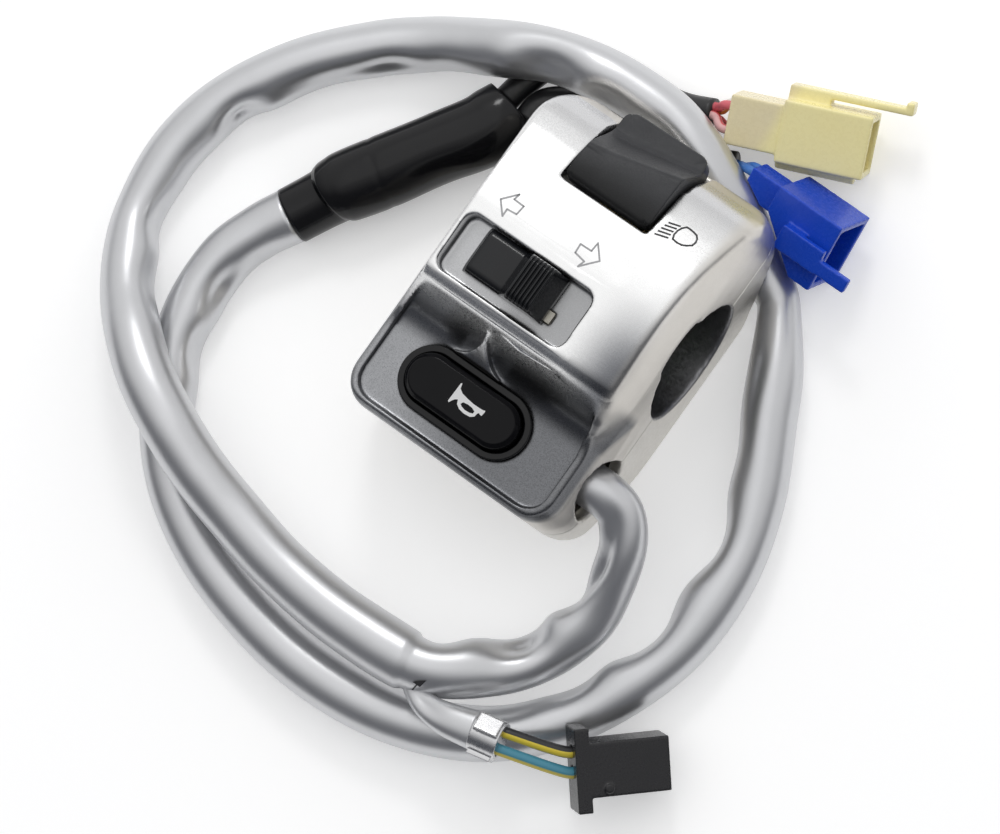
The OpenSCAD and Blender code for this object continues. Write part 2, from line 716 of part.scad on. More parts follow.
// Flat plate on the left and a tall ribbed ridge on the right
module turn_knob() {
  knob_x0 = knob_x - knob_l / 2;
  knob_x1 = knob_x + knob_l / 2;
  ridge_x = knob_x1 - ridge_l / 2;
  plate_top = knob_z + knob_plate_t;
  ridge_top = plate_top + knob_ridge_h;
  rib_pitch = 0.75;
  color("black")
    difference() {
      union() {
        along_y(knob_y - knob_w / 2, knob_y + knob_w / 2)
          polygon([[knob_x0, knob_z], [knob_x0, plate_top - 1.1], [knob_x0 + 0.9, plate_top],
            [ridge_x - 2.6, plate_top], [ridge_x - 1.9, ridge_top], [ridge_x + 1.9, ridge_top],
            [knob_x1, knob_z + 1.2], [knob_x1, knob_z]]);
        block(knob_x - stem_l / 2, knob_x + stem_l / 2, knob_y - stem_w / 2, knob_y + stem_w / 2,
          carriage_top, knob_z + eps);
      }
      for (i = [0 : rib_count])
        translate([ridge_x + (i - rib_count / 2) * rib_pitch, knob_y, ridge_top])
          rotate([90, 0, 0])
            cylinder(d = 0.5, h = knob_w + 1, center = true);
      for (side = [-1, 1])
        translate([0, knob_y + side * knob_w / 2, plate_top])
          rotate([side * 45, 0, 0])
            block(knob_x0 - eps, knob_x1 + eps, -0.8, 0.8, -0.8, knob_ridge_h - 1.2);
    }
}

module turn_guide_tab() {
  color("white")
    block(tab_at[0] - tab_l / 2, tab_at[0] + tab_l / 2, tab_at[1] - tab_w / 2, tab_at[1] + tab_w / 2,
      floor_under, floor_z);
}

module turn_carriage() {
  color("saddlebrown")
    difference() {
      block(knob_x - carriage_l / 2, knob_x + carriage_l / 2, knob_y - carriage_w / 2,
        knob_y + carriage_w / 2,
        carriage_z, carriage_top);
      translate([knob_x, knob_y - carriage_w / 2 - eps, carriage_z + carriage_t / 2])
        rotate([-90, 0, 0])
          cylinder(d = ball_d + 2 * seat_gap, h = 4.5 + eps);
    }
}

module turn_bridge() {
  color("goldenrod")
    block(knob_x - 3, knob_x + 3, knob_y - 3, knob_y + 3, turn_bridge_z, carriage_z);
}

// Base plate with the notched rail that the detent ball rides on
module turn_base() {
  rail_y = knob_y - carriage_w / 2 - 0.5 - open_gap;
  rail_l = carriage_l + 2 * turn_travel;
  color("saddlebrown")
    difference() {
      union() {
        block(turn_base_x - turn_base_l / 2, turn_base_x + turn_base_l / 2, turn_base_y0, turn_base_y1,
          turn_base_z, turn_base_top);
        block(knob_x - rail_l / 2, knob_x + rail_l / 2, turn_base_y0, rail_y, turn_base_z, carriage_top);
      }
      for (i = [-1 : 1])
        translate([knob_x + i * turn_travel, rail_y + 0.6, turn_base_top])
          cylinder(r = 0.9, h = carriage_t + 2);
      for (at = turn_screws_at)
        translate([at[0], at[1], turn_base_z - eps])
          cylinder(d = turn_screw_d + 2 * seat_gap, h = plate_t + 2 * eps);
    }
}

module turn_contacts() {
  color("goldenrod")
    for (i = [-1 : 1])
      block(knob_x - 5, turn_tail_x, knob_y + i * turn_strip_pitch - turn_strip_w / 2,
        knob_y + i * turn_strip_pitch + turn_strip_w / 2, turn_base_top, turn_base_top + contact_t);
}

turn_ball_y = knob_y - carriage_w / 2 - 0.5 + ball_d / 2;

module turn_detent_spring() {
  color("gainsboro")
    translate([knob_x, turn_ball_y + ball_d / 2, carriage_z + carriage_t / 2])
      rotate([-90, 0, 0])
        coil(ball_d / 2 - 0.2, 0.3, 4, 0, 4.5 + 0.5 - ball_d);
}

module turn_detent_ball() {
  color("gainsboro")
    translate([knob_x, turn_ball_y, carriage_z + carriage_t / 2])
      sphere(d = ball_d);
}

module turn_screws() {
  color("gainsboro")
    for (at = turn_screws_at)
      translate([at[0], at[1], turn_base_z])
        screw(turn_screw_d, plate_t + 2.6, 1.8 * turn_screw_d, 0.9);
}

// Horn switch

module horn_bezel() {
  color("black")
    translate([horn_x, horn_y, 0])
      difference() {
        union() {
          translate([0, 0, panel_z])
            linear_extrude(bezel_flange_t)
              stadium(horn_l, horn_w);
          translate([0, 0, bezel_under])
            linear_extrude(panel_z - bezel_under)
              stadium(bezel_in_l + 2 * bezel_sleeve_t, bezel_in_w + 2 * bezel_sleeve_t);
        }
        translate([0, 0, bezel_under - eps])
          linear_extrude(panel_z)
            stadium(bezel_in_l, bezel_in_w);
      }
}

// Button with a bevelled top, a flange under the bezel and a seat for its spring
module horn_button() {
  straight = button_l - button_w;
  body_h = button_top - button_bevel - button_under;
  shoulder = button_under + body_h;
  color("black")
    translate([horn_x, horn_y, 0])
      difference() {
        union() {
          translate([0, 0, button_under])
            linear_extrude(body_h)
              stadium(button_l, button_w);
          for (side = [-1, 1])
            translate([side * straight / 2, 0, shoulder])
              cylinder(r1 = button_w / 2, r2 = button_w / 2 - button_bevel, h = button_bevel);
          along_x(-straight / 2, straight / 2)
            polygon([[-button_w / 2, shoulder], [button_w / 2, shoulder],
              [button_w / 2 - button_bevel, button_top],
              [-button_w / 2 + button_bevel, button_top]]);
          translate([0, 0, button_under])
            linear_extrude(button_flange_t)
              stadium(bezel_in_l + 1, bezel_in_w + 1);
        }
        translate([0, 0, button_under - eps])
          cylinder(d = spring_seat_d, h = spring_seat_z - button_under + eps);
      }
}

module horn_spring() {
  color("gainsboro")
    translate([horn_x, horn_y, 0])
      coil(spring_seat_d / 2 - 0.7, 0.6, 5, horn_base_top, spring_seat_z);
}

module horn_bridge() {
  color("goldenrod")
    translate([horn_x, horn_y, button_under - contact_t])
      linear_extrude(contact_t)
        difference() {
          stadium(15, 8);
          circle(d = spring_seat_d + 0.6);
        }
}

module horn_contacts() {
  color("goldenrod")
    for (side = [-1, 1])
      translate([horn_x + side * horn_post_x - horn_post_l / 2, horn_y - 1.5, horn_base_top])
        cube([horn_post_l, 3, horn_post_h]);
}

module horn_base() {
  color("saddlebrown")
    difference() {
      union() {
        block(horn_x - 11.6, horn_x + 11.6, horn_y - 6, horn_y + 6, horn_base_z, horn_base_top);
        for (at = horn_screws_at)
          block(at[0] - 2.2, at[0] + 2.2, at[1] - 1.9, at[1] + 1.9, horn_base_z, horn_base_top);
        block(horn_screws_at[0][0] + 1.2, horn_screws_at[1][0] - 1.2, horn_y - 6, horn_y - 3, horn_base_z,
          horn_base_top);
        translate([horn_x, horn_y, horn_base_top])
          cylinder(d = 3, h = 3);
      }
      for (at = horn_screws_at)
        translate([at[0], at[1], horn_base_z - eps])
          cylinder(d = horn_screw_d + 2 * seat_gap, h = horn_base_t + 2 * eps);
    }
}

module horn_screws() {
  color("gainsboro")
    for (at = horn_screws_at)
      translate([at[0], at[1], horn_base_z])
        screw(horn_screw_d, horn_base_t + 5, 1.8 * horn_screw_d, 1.2);
}

// Harness

// Wires from the sleeve's end to the contacts, side by side in two layers
lane_gaps = [0, 1.65, 3.3];
top_lanes = [for (gap = lane_gaps) turn_tail_x + 1.9 + gap];
low_lanes = [for (i = [0 : 2]) (top_lanes[i] + sleeve_in_x - 6 + lane_gaps[i]) / 2];
wire_ring = 2.4;
function wire_exit(angle, ring) =
  let (y = exit_y + ring * cos(angle), z = ring * sin(angle))
  [[sleeve_in_x, y, z], [sleeve_in_x - 2, y, z]];
// Point at a gap from the handlebar, at an angle from straight up the face
function round_bar(x, gap, angle) = [x, (bore_r + gap) * cos(angle), (bore_r + gap) * sin(angle)];
function turn_wire(k, from) =
  let (x = low_lanes[k], y = knob_y + (k - 1) * turn_strip_pitch, z = turn_base_top + contact_t / 2)
  concat(from, [[x, exit_y + 5.7, 0.4], round_bar(x, 4.9, 165), round_bar(x, 3.2, 148),
    round_bar(top_lanes[k], 3.75, 130), [turn_tail_x + 1.6, y, z], [turn_tail_x, y, z]]);
function dimmer_wire(k, from, down) =
  let (x = low_lanes[k], up_x = top_lanes[k], s = dimmer_strips[k], top = dimmer_base_t + s[1])
  concat(from, [[x, exit_y + 4.4, 1.7], round_bar(x, 6.65, 160.6), round_bar(x, 5, 144),
    round_bar(up_x, 6.1, 128),
    round_bar(up_x, 5.05, 108), round_bar(up_x, 4.5, 86), round_bar(up_x, 4.65, 59.5)], down,
    [[s[2], s[0], top + 2.4], [s[2], s[0], top]]);
horn_wire = concat(wire_exit(210, wire_ring), [[9, horn_y, horn_base_top + 1.1],
  [horn_x + horn_post_x + horn_post_l / 2, horn_y, horn_base_top + 1.1]]);
inner_routes = [horn_wire,
  turn_wire(0, wire_exit(270, wire_ring)), turn_wire(1, wire_exit(0, 0)),
    turn_wire(2, wire_exit(330, wire_ring)),
  dimmer_wire(0, wire_exit(150, wire_ring), [round_bar(right_x - 11.3, 3.9, 34.5)]),
  dimmer_wire(1, wire_exit(90, wire_ring), [round_bar(right_x - 9.6, 4.35, 35.5)]),
  dimmer_wire(2, wire_exit(30, wire_ring), [round_bar(right_x - 8, 5.35, 35),
    [right_x - 8.4, pivot_y + 0.5, 5.2]])];

module inner_wires() {
  color("olive")
    for (route = inner_routes)
      tube(routed(route), wire_d / 2, 6);
}

module harness_sleeve() {
  echo(sleeve_length = route_length(sleeve_route));
  echo(sleeve_least_gap = least_gap(sleeve_route, sleeve_d / 2, 4, 20));
  color("silver")
    tube(sleeve_route, sleeve_d / 2, 8);
}

module harness_wrap() {
  color("black")
    tube(wrap_route, wrap_d / 2, 10);
}

module main_lead() {
  color("black")
    tube(main_lead_route, lead_d / 2, 8);
}

module second_lead() {
  color("black")
    tube(second_lead_route, lead_d / 2, 8);
}

// Point in a connector's own frame, carried to where the connector lies
function turned(p, turn) =
  let (a = [p[0], p[1] * cos(turn[0]) - p[2] * sin(turn[0]), p[1] * sin(turn[0]) + p[2] * cos(turn[0])],
    b = [a[0] * cos(turn[1]) + a[2] * sin(turn[1]), a[1], -a[0] * sin(turn[1]) + a[2] * cos(turn[1])])
  [b[0] * cos(turn[2]) - b[1] * sin(turn[2]), b[0] * sin(turn[2]) + b[1] * cos(turn[2]), b[2]];
function in_connector(p, at, turn) = at + turned(p, turn);

// Wires between a lead's end and the holes in the rear of its connector
function bridge_route(lead, spread, hole, at, turn) =
  let (n = len(lead), from = place(lead[n - 1]), way = unit(from - place(lead[n - 2])), start = from + spread)
  [start - (way * spread) * way, start - (way * spread) * way + way * 0.9,
    in_connector([-1, hole[0], hole[1]], at, turn), in_connector([2, hole[0], hole[1]], at, turn)];

main_holes = [for (y = [-2, 2], z = [-1.9, 1.9]) [y, z]];
second_holes = [[4, -0.6], [4, 1.9]];
branch_holes = [[3.1, 0], [-0.3, 0]];
branch_slot_w = 2.2;

module main_wires() {
  color("indianred")
    for (h = main_holes)
      tube(routed(bridge_route(main_lead_route, [0, h[0] / 2.2, h[1] / 2.2], h, main_at, main_turn)),
        main_wire_d / 2, 6);
}

module second_wires() {
  color("steelblue")
    for (h = second_holes)
      tube(routed(bridge_route(second_lead_route, [0, 0, (h[1] - 0.6) * 0.7], h,
        in_connector([second_rear[0], 0, 0], second_at, second_turn), second_turn)), main_wire_d / 2, 6);
}

// Wire holes through the rear of a connector
module wire_holes(holes, d, depth) {
  for (h = holes)
    rod_x(-eps, depth, h[0], h[1], d);
}

main_rear_l = 9.2;
main_l = 24.5;
main_w = 10.8;
main_h = 9.6;
main_floor = 11.5;
shell_t = 1.2;

module main_connector() {
  latch_y = main_w / 2 + 1.2;
  color("khaki")
    translate(main_at)
      rotate(main_turn)
        difference() {
          union() {
            block(0, main_rear_l, -4.3, 4.3, -4.2, 4.2);
            block(main_rear_l, main_l, -main_w / 2, main_w / 2, -main_h / 2, main_h / 2);
            rod_x(main_rear_l, main_l - 1.5, -main_w / 2 + 0.4, 1.4, 3.6);
            block(main_rear_l, main_l - 8, main_w / 2 - eps, latch_y, -2.2, 2.2);
            block(main_rear_l, main_l + 6, latch_y, latch_y + 1.2, -2.2, 2.2);
            block(main_l + 4.6, main_l + 6, latch_y, latch_y + 2.2, -2.2, 2.2);
          }
          block(main_floor, main_l + eps, -main_w / 2 + shell_t, main_w / 2 - shell_t,
            -main_h / 2 + shell_t, main_h / 2 - shell_t);
          wire_holes(main_holes, main_wire_d + 0.2, 2);
          for (h = main_holes)
            block(2 - eps, main_floor + eps, h[0] - 1.1, h[0] + 1.1, h[1] - 0.5, h[1] + 0.5);
        }
}

module main_terminals() {
  color("gold")
    translate(main_at)
      rotate(main_turn)
        for (h = main_holes)
          block(2, main_floor + 5, h[0] - 1, h[0] + 1, h[1] - 0.4, h[1] + 0.4);
}

second_l = 13;
second_w = 12.6;
second_h = 11.8;
second_floor = 3;
// Where the sloped shoulder ends on the side and where it starts at the rear
second_shoulder = [8.8, 1.5];
second_rear = [-6.5, 2.7, 5.3, -1.8, 3.2];
second_arm = [-2.4, 2];
second_tip = [-2.2, 0.3];

// Outline of the shroud in plan, drawn in by a wall's thickness for its hollow
function second_outline(inset, rear, front) =
  let (slope = (second_shoulder[1] + second_w / 2) / second_shoulder[0],
    shift = inset * sqrt(1 + slope * slope))
  [[rear, second_w / 2 - inset], [front, second_w / 2 - inset], [front, -second_w / 2 + inset],
    [second_shoulder[0] + (shift - inset) / slope, -second_w / 2 + inset],
    [rear, second_shoulder[1] + shift - rear * slope]];

// Shroud with a sloped shoulder, a wire block behind it and a latch arm on its face
module second_connector() {
  latch_z = second_h / 2 + 0.9;
  arm_x = 4.5;
  color("royalblue")
    translate(second_at)
      rotate(second_turn)
        difference() {
          union() {
            translate([0, 0, second_rear[3]])
              linear_extrude(second_rear[4] - second_rear[3])
                polygon([[second_rear[0], second_rear[2]], [eps, second_rear[2]], [eps, 0.2], [-2.4, 0.2],
                  [second_rear[0], second_rear[1]]]);
            translate([0, 0, -second_h / 2])
              linear_extrude(second_h)
                polygon(second_outline(0, 0, second_l));
            block(arm_x, arm_x + 4, second_arm[0], second_arm[1], second_h / 2 - eps, latch_z);
            block(arm_x, second_l, second_arm[0], second_arm[1], latch_z, latch_z + 1.4);
            block(second_l - eps, second_l + 6, second_tip[0], second_tip[1], latch_z, latch_z + 1.4);
          }
          translate([0, 0, -second_h / 2 + shell_t])
            linear_extrude(second_h - 2 * shell_t)
              polygon(second_outline(shell_t, second_floor, second_l + eps));
          translate([second_rear[0], 0, 0])
            wire_holes(second_holes, main_wire_d + 0.2, 2);
          for (h = second_holes)
            block(second_rear[0] + 2 - eps, second_floor + eps, h[0] - 0.5, h[0] + 0.5, h[1] - 0.9,
              h[1] + 0.9);
        }
}

module second_terminals() {
  color("gold")
    translate(second_at)
      rotate(second_turn)
        for (h = second_holes)
          block(second_rear[0] + 2, second_floor + 4, h[0] - 0.4, h[0] + 0.4, h[1] - 0.8, h[1] + 0.8);
}

module branch_sleeve() {
  color("silver")
    tube(branch_route, branch_d / 2, 8);
}

branch_end = place(branch_route[3]);
clip_way = unit(branch_end - place(branch_route[2]));
clip_out = branch_end + clip_way * clip_l;

// Folded metal collar with three raised ears round the end of the branch
module branch_clip() {
  color("gainsboro")
    translate(branch_end)
      rotate([0, acos(clip_way[2]), atan2(clip_way[1], clip_way[0])])
        difference() {
          union() {
            cylinder(d = branch_d + 0.8, h = clip_l);
            for (turn = [-90, 30, 150])
              rotate([0, 0, turn])
                translate([branch_d / 2 + 0.2, -1.6, 0.4])
                  cube([0.7, 3.2, clip_l - 0.8]);
          }
          for (side = [-1, 1])
            translate([0, side * 1.5, clip_l - 1.5])
              cylinder(d = branch_wire_d + 0.2, h = 1.5 + eps);
        }
}

module branch_wires() {
  across = unit(cross([0, 0, 1], clip_way));
  color("goldenrod")
    for (i = [0, 1])
      let (side = i == 0 ? 1 : -1, from = clip_out + across * 1.5 * side)
      tube(routed([from - clip_way * 1.5, from + clip_way * 1.2,
        in_connector([-5, branch_holes[i][0], 0.4], branch_at, branch_turn),
        in_connector([-2, branch_holes[i][0], 0], branch_at, branch_turn),
        in_connector([2, branch_holes[i][0], 0], branch_at, branch_turn)]), branch_wire_d / 2, 6);
}

branch_l = 16;
branch_w = 9.2;
branch_h = 6.4;
branch_flange = [2.5, 14.2, 6.4];

module branch_connector() {
  color("black")
    translate(branch_at)
      rotate(branch_turn)
        difference() {
          union() {
            block(0, branch_flange[0], -branch_flange[1] / 2, branch_flange[1] / 2,
              -branch_flange[2] / 2, branch_flange[2] / 2);
            block(branch_flange[0], branch_l, -branch_w / 2, branch_w / 2, -branch_h / 2, branch_h / 2);
            translate([5.4, -branch_w / 2 + 1.4, branch_h / 2 - 0.5])
              cylinder(d = 1.6, h = 0.9);
          }
          wire_holes(branch_holes, branch_wire_d + 0.2, 2);
          for (h = branch_holes)
            block(2 - eps, branch_l + eps, h[0] - branch_slot_w / 2, h[0] + branch_slot_w / 2, -0.7, 0.7);
        }
}

module branch_terminals() {
  color("gold")
    translate(branch_at)
      rotate(branch_turn)
        for (h = branch_holes)
          block(2, branch_l - 2, h[0] - branch_slot_w / 2 + 0.1, h[0] + branch_slot_w / 2 - 0.1, -0.6, 0.6);
}

front_housing();
rear_housing();
housing_screws();
cable_clamp();
cable_clamp_screws();
dimmer_rocker();
dimmer_pivot_pin();
dimmer_base();
dimmer_bridge();
dimmer_contacts();
dimmer_detent_spring();
dimmer_detent_ball();
turn_knob();
turn_guide_tab();
turn_carriage();
turn_bridge();
turn_base();
turn_contacts();
turn_detent_spring();
turn_detent_ball();
turn_screws();
horn_bezel();
horn_button();
horn_spring();
horn_bridge();
horn_contacts();
horn_base();
horn_screws();
inner_wires();
harness_sleeve();
harness_wrap();
main_lead();
second_lead();
main_wires();
main_connector();
main_terminals();
second_wires();
second_connector();
second_terminals();
branch_sleeve();
branch_clip();
branch_wires();
branch_connector();
branch_terminals();
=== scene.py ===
"""Looks of a motorbike handlebar switch cluster with its looped harness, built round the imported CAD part."""

import math

import bpy
from mathutils import Matrix, Vector


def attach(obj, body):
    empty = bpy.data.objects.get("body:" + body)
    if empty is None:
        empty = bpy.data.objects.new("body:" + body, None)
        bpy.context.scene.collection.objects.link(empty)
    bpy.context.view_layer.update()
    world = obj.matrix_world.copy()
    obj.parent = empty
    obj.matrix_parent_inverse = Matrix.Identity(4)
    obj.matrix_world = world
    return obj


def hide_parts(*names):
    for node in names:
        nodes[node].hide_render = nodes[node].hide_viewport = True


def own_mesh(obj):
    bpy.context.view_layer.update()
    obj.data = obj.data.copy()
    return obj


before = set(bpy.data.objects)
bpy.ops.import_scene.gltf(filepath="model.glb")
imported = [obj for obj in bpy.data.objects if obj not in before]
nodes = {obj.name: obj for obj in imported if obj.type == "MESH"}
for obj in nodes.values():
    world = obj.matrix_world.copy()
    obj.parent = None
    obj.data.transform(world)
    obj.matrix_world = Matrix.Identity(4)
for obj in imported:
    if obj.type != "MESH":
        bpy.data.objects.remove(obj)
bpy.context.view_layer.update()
MM = 0.001
TABLE_Z = -18.5

bpy.context.scene.view_settings.view_transform = "Standard"


# Tools that put things in the scene

def add_piece(name, data):
    piece = bpy.data.objects.new(name, data)
    bpy.context.scene.collection.objects.link(piece)
    return piece


def add_mesh(name, points, faces):
    mesh = bpy.data.meshes.new(name)
    mesh.from_pydata(points, [], faces)
    return add_piece(name, mesh)


# Camera at the photograph's viewing angle, in millimetres

CAMERA_PLACE = (135.40, -35.18, 532.53)
CAMERA_RIGHT = (0.79336, 0.57919, -0.18739)
CAMERA_UP = (-0.55863, 0.81500, 0.15394)
CAMERA_BACK = (0.24189, -0.01745, 0.97015)
SENSOR_WIDTH, FOCAL_LENGTH = 36, 118.8


def add_camera():
    lens = bpy.data.cameras.new("camera")
    lens.sensor_width = SENSOR_WIDTH
    lens.lens = FOCAL_LENGTH
    camera = add_piece("camera", lens)
    turn = Matrix((CAMERA_RIGHT, CAMERA_UP, CAMERA_BACK)).transposed().to_4x4()
    camera.matrix_world = Matrix.Translation(Vector(CAMERA_PLACE) * MM) @ turn
    bpy.context.scene.camera = camera


add_camera()


# Tools for tubes: cords, wires and sleeves

FINE_STEPS = 24


def between(a, b, c, d, share):
    """Point on the smooth curve from b to c, whose neighbours are a and d."""
    return [0.5 * (2 * q + (r - p) * share + (2 * p - 5 * q + 4 * r - s) * share ** 2
                   + (3 * q - p - 3 * r + s) * share ** 3)
            for p, q, r, s in zip(a, b, c, d)]


def smooth_route(route, step):
    """Rings at an even step on a smooth curve through the route's points: place, radius share, distance."""
    last = len(route) - 1
    fine = []
    for i in range(last):
        a, b, c, d = route[max(i - 1, 0)], route[i], route[i + 1], route[min(i + 2, last)]
        fine += [between(a, b, c, d, k / FINE_STEPS) for k in range(FINE_STEPS)]
    fine.append(list(route[last]))
    distances = [0.0]
    for a, b in zip(fine, fine[1:]):
        distances.append(distances[-1] + math.dist(a[:3], b[:3]))
    count = max(2, round(distances[-1] / step))
    rings, at = [], 0
    for k in range(count + 1):
        wanted = distances[-1] * k / count
        while at < len(fine) - 2 and distances[at + 1] < wanted:
            at += 1
        span = distances[at + 1] - distances[at]
        share = (wanted - distances[at]) / span if span else 0
        point = [p + (q - p) * share for p, q in zip(fine[at], fine[at + 1])]
        rings.append((Vector(point[:3]), point[3], wanted))
    return rings


def level_frame(rings, i):
    """Direction of travel at a ring, the side that faces up and the side to the left."""
    ahead = rings[min(i + 1, len(rings) - 1)][0] - rings[max(i - 1, 0)][0]
    ahead.normalize()
    left = Vector((0, 0, 1)).cross(ahead).normalized()
    return ahead, ahead.cross(left), left


def tube(name, route, radius, sides, step, shape=None):
    """Round tube in millimetres along a route, with a UV map round and along it.

    shape(distance, angle) gives a change of the radius; the angle is 0 on top and 90 degrees on the left."""
    rings = smooth_route(route, step)
    points, faces, marks = [], [], []
    for i, (centre, share, distance) in enumerate(rings):
        _, up, left = level_frame(rings, i)
        for k in range(sides):
            angle = 2 * math.pi * k / sides
            r = radius * share
            if shape:
                r += shape(distance, (math.degrees(angle) + 180) % 360 - 180)
            points.append((centre + r * (math.cos(angle) * up + math.sin(angle) * left)) * MM)
    for i in range(len(rings) - 1):
        for k in range(sides):
            n = (k + 1) % sides
            faces.append((i * sides + k, i * sides + n, (i + 1) * sides + n, (i + 1) * sides + k))
            near, far = rings[i][2] * MM, rings[i + 1][2] * MM
            marks += [(k / sides, near), ((k + 1) / sides, near), ((k + 1) / sides, far), (k / sides, far)]
    for ring, turn in ((0, -1), (len(rings) - 1, 1)):
        faces.append([ring * sides + k for k in range(sides)][::turn])
        marks += [(0.5, rings[ring][2] * MM)] * sides
    piece = add_mesh(name, points, faces)
    layer = piece.data.uv_layers.new(name="along")
    for loop, mark in zip(layer.data, marks):
        loop.uv = mark
    for polygon in piece.data.polygons:
        polygon.use_smooth = True
    return piece, [ring[0] * MM for ring in rings]


def bump_at(distance, angle, middle, side, half_length, half_angle):
    """Share of a soft round dent at its middle and side of a tube."""
    turn = (angle - side + 180) % 360 - 180
    return math.exp(-0.5 * ((distance - middle) / half_length) ** 2 - 0.5 * (turn / half_angle) ** 2)


def folds_at(distance, angle, folds):
    """Height of all the folds at a place on a tube; each one ends at four of its half lengths."""
    return sum(height * bump_at(distance, angle, middle, side, half_length, half_angle)
               for middle, side, height, half_length, half_angle in folds
               if abs(distance - middle) < 4 * half_length)


def evenly(route):
    """A route whose tube keeps its full radius."""
    return [(x, y, z, 1.0) for x, y, z in route]


# The harness: routes in millimetres, each point with its share of the radius

SLEEVE_R = 5.0
SLEEVE_ROUTE = [
    (16, -26.2, 0, 0.78), (20.5, -26.2, 0, 0.78), (25.5, -26.2, 0, 0.78), (29, -27.5, -1, 0.8),
    (31.5, -31.5, -3, 0.86), (32.5, -38, -6.5, 0.94), (32.5, -45, -9.5, 1), (30, -53, -10.8, 1),
    (24.3, -60.2, -9.8, 1), (15, -66.8, -7, 1), (0, -68.5, -7, 1), (-15, -67.5, -6.8, 1), (-27, -65, -6, 1),
    (-36, -62.5, -4.3, 1), (-44.5, -59, -2.7, 1), (-52.5, -55, -2.6, 1), (-59.5, -50.5, -4.5, 1),
    (-66, -45.5, -8, 1), (-71.5, -39, -11, 1), (-75, -31.5, -13, 1), (-76.5, -20, -13.5, 1),
    (-74, -8, -13.5, 1), (-67, 4.5, -13.5, 1), (-57.5, 14.5, -13.5, 1), (-49.5, 20.5, -13, 1),
    (-42, 24.5, -11, 1), (-34, 28, -8, 1), (-26.5, 30.5, -6.5, 1), (-19, 32, -6, 1), (-12, 32.5, -6.5, 1),
    (-5, 32.2, -7, 1), (1.5, 30.4, -7.5, 1), (8, 27.8, -8.7, 0.96), (14.5, 25.1, -11.2, 0.92),
    (20.5, 21.3, -13.9, 0.86), (25.4, 18.8, -14.5, 0.76), (28.2, 16, -14.6, 0.74), (33.6, 7.5, -13.8, 0.94),
    (37.4, 0, -13.5, 1), (43.5, -12, -13.5, 1), (47, -25, -13.5, 1), (47, -39, -13.5, 1),
    (42.5, -53, -13.5, 1), (35, -64.5, -13.5, 1), (25, -72.5, -13.5, 1), (12, -77.5, -13.5, 1),
    (-2, -79, -13.5, 1), (-16, -77.5, -13.5, 1), (-30, -73.5, -13.5, 1), (-42, -66.5, -13.5, 1),
    (-51, -56, -13.5, 1), (-56.5, -43, -13.5, 1), (-57.5, -31, -13.5, 1), (-55, -23, -13.5, 1),
    (-52, -17.5, -13.2, 1)]
# Folds of the thin vinyl: distance along, side, depth, half length, half angle
SLEEVE_DENTS = [
    (14, -20, 1.0, 3.5, 30), (23, -42, 2.8, 4.6, 32), (31, -88, 2.0, 3.4, 40), (30, 25, 0.8, 5, 26),
    (41, 70, 0.7, 5, 34), (46, -46, 2.7, 4.4, 34), (62, -85, 0.8, 4, 34), (154, -85, 0.7, 4, 34),
    (168, -82, 1.9, 4.2, 36), (180, -76, 0.6, 5, 30), (194, -76, 2.2, 3.0, 30), (203, -62, 0.7, 6, 24),
    (213, -80, 0.9, 4, 28), (224, -64, 1.6, 5.2, 22), (235, -82, 0.9, 4, 28), (256, -42, 2.3, 4.4, 40),
    (268, -60, 1.2, 4, 30), (281, -66, 1.4, 5, 34), (293, -56, 1.0, 4, 30), (341, -78, 0.8, 5, 32),
    (358, -78, 2.0, 5, 38), (380, -76, 2.1, 5, 36), (396, -66, 1.5, 4, 32), (410, -52, 1.7, 8, 30),
    (428, -80, 0.6, 5, 30), (500, -66, 0.8, 5, 30), (513, -78, 1.9, 3.6, 34), (525, -56, 1.9, 4.4, 28),
    (535, -80, 0.9, 4, 30)]
# Ridges beside the folds: distance along, side, height, half length, half angle
SLEEVE_RIDGES = [
    (16, -60, 0.4, 3, 24), (38, -60, 0.6, 2.4, 34), (54, -75, 0.6, 3.4, 34), (160, -90, 0.4, 3.4, 30),
    (200, -84, 0.5, 2.6, 26), (230, -60, 0.35, 3, 22), (248, -40, 0.4, 2.0, 34), (263, -44, 0.3, 2.4, 30),
    (349, -80, 0.4, 4, 32), (369, -78, 0.6, 4, 36), (389, -72, 0.5, 3, 32), (402, -56, 0.3, 3, 26),
    (507, -76, 0.35, 3, 28), (519, -70, 0.45, 2.4, 28), (531, -70, 0.3, 2.4, 26)]
# The sleeve is slit where its branch leaves, and the outer part laps over the inner one
SLIT_AT, LAP, LAP_STEP, LAP_LENGTH = 66.0, 0.45, 0.4, 26


def sleeve_shape(distance, angle):
    """Slight waves all along, the folds, and the lap past the slit."""
    waves = 0.05 * math.sin(distance / 7.3 + math.radians(angle)) + 0.04 * math.sin(distance / 17.0 + 1.3)
    folds = folds_at(distance, angle, SLEEVE_RIDGES) - folds_at(distance, angle, SLEEVE_DENTS)
    past = distance - SLIT_AT
    lap = LAP * min(1.0, max(0.0, past / LAP_STEP)) * max(0.0, 1 - past / LAP_LENGTH)
    return waves + folds + lap


WRAP_R = 6.4
WRAP_ROUTE = [
    (-52, -17.5, -13.2, 0.8), (-48.4, -10.9, -12.84, 0.84), (-47.2, -8.7, -12.2, 0.97), (-42.5, -2, -12, 1),
    (-36.5, 7, -12, 1), (-32, 14, -12, 1), (-30.6, 19.8, -12, 1)]
# Rings at the tape's steps and the pinch at its bend: distance along, side, depth, half length, half angle
WRAP_DENTS = [(9.6, 0, 0.12, 0.4, 400), (17.5, 0, 0.08, 0.4, 400), (27, -70, 0.6, 4, 32)]
WRAP_END = Vector((-30.6, 19.8, -12))
WRAP_WAY = Vector((1.4, 5.8, 0)).normalized()
LEAD_R, LEAD_GAP, LEAD_DROP, LEAD_STRAIGHT = 2.4, 0.2, 3, 5


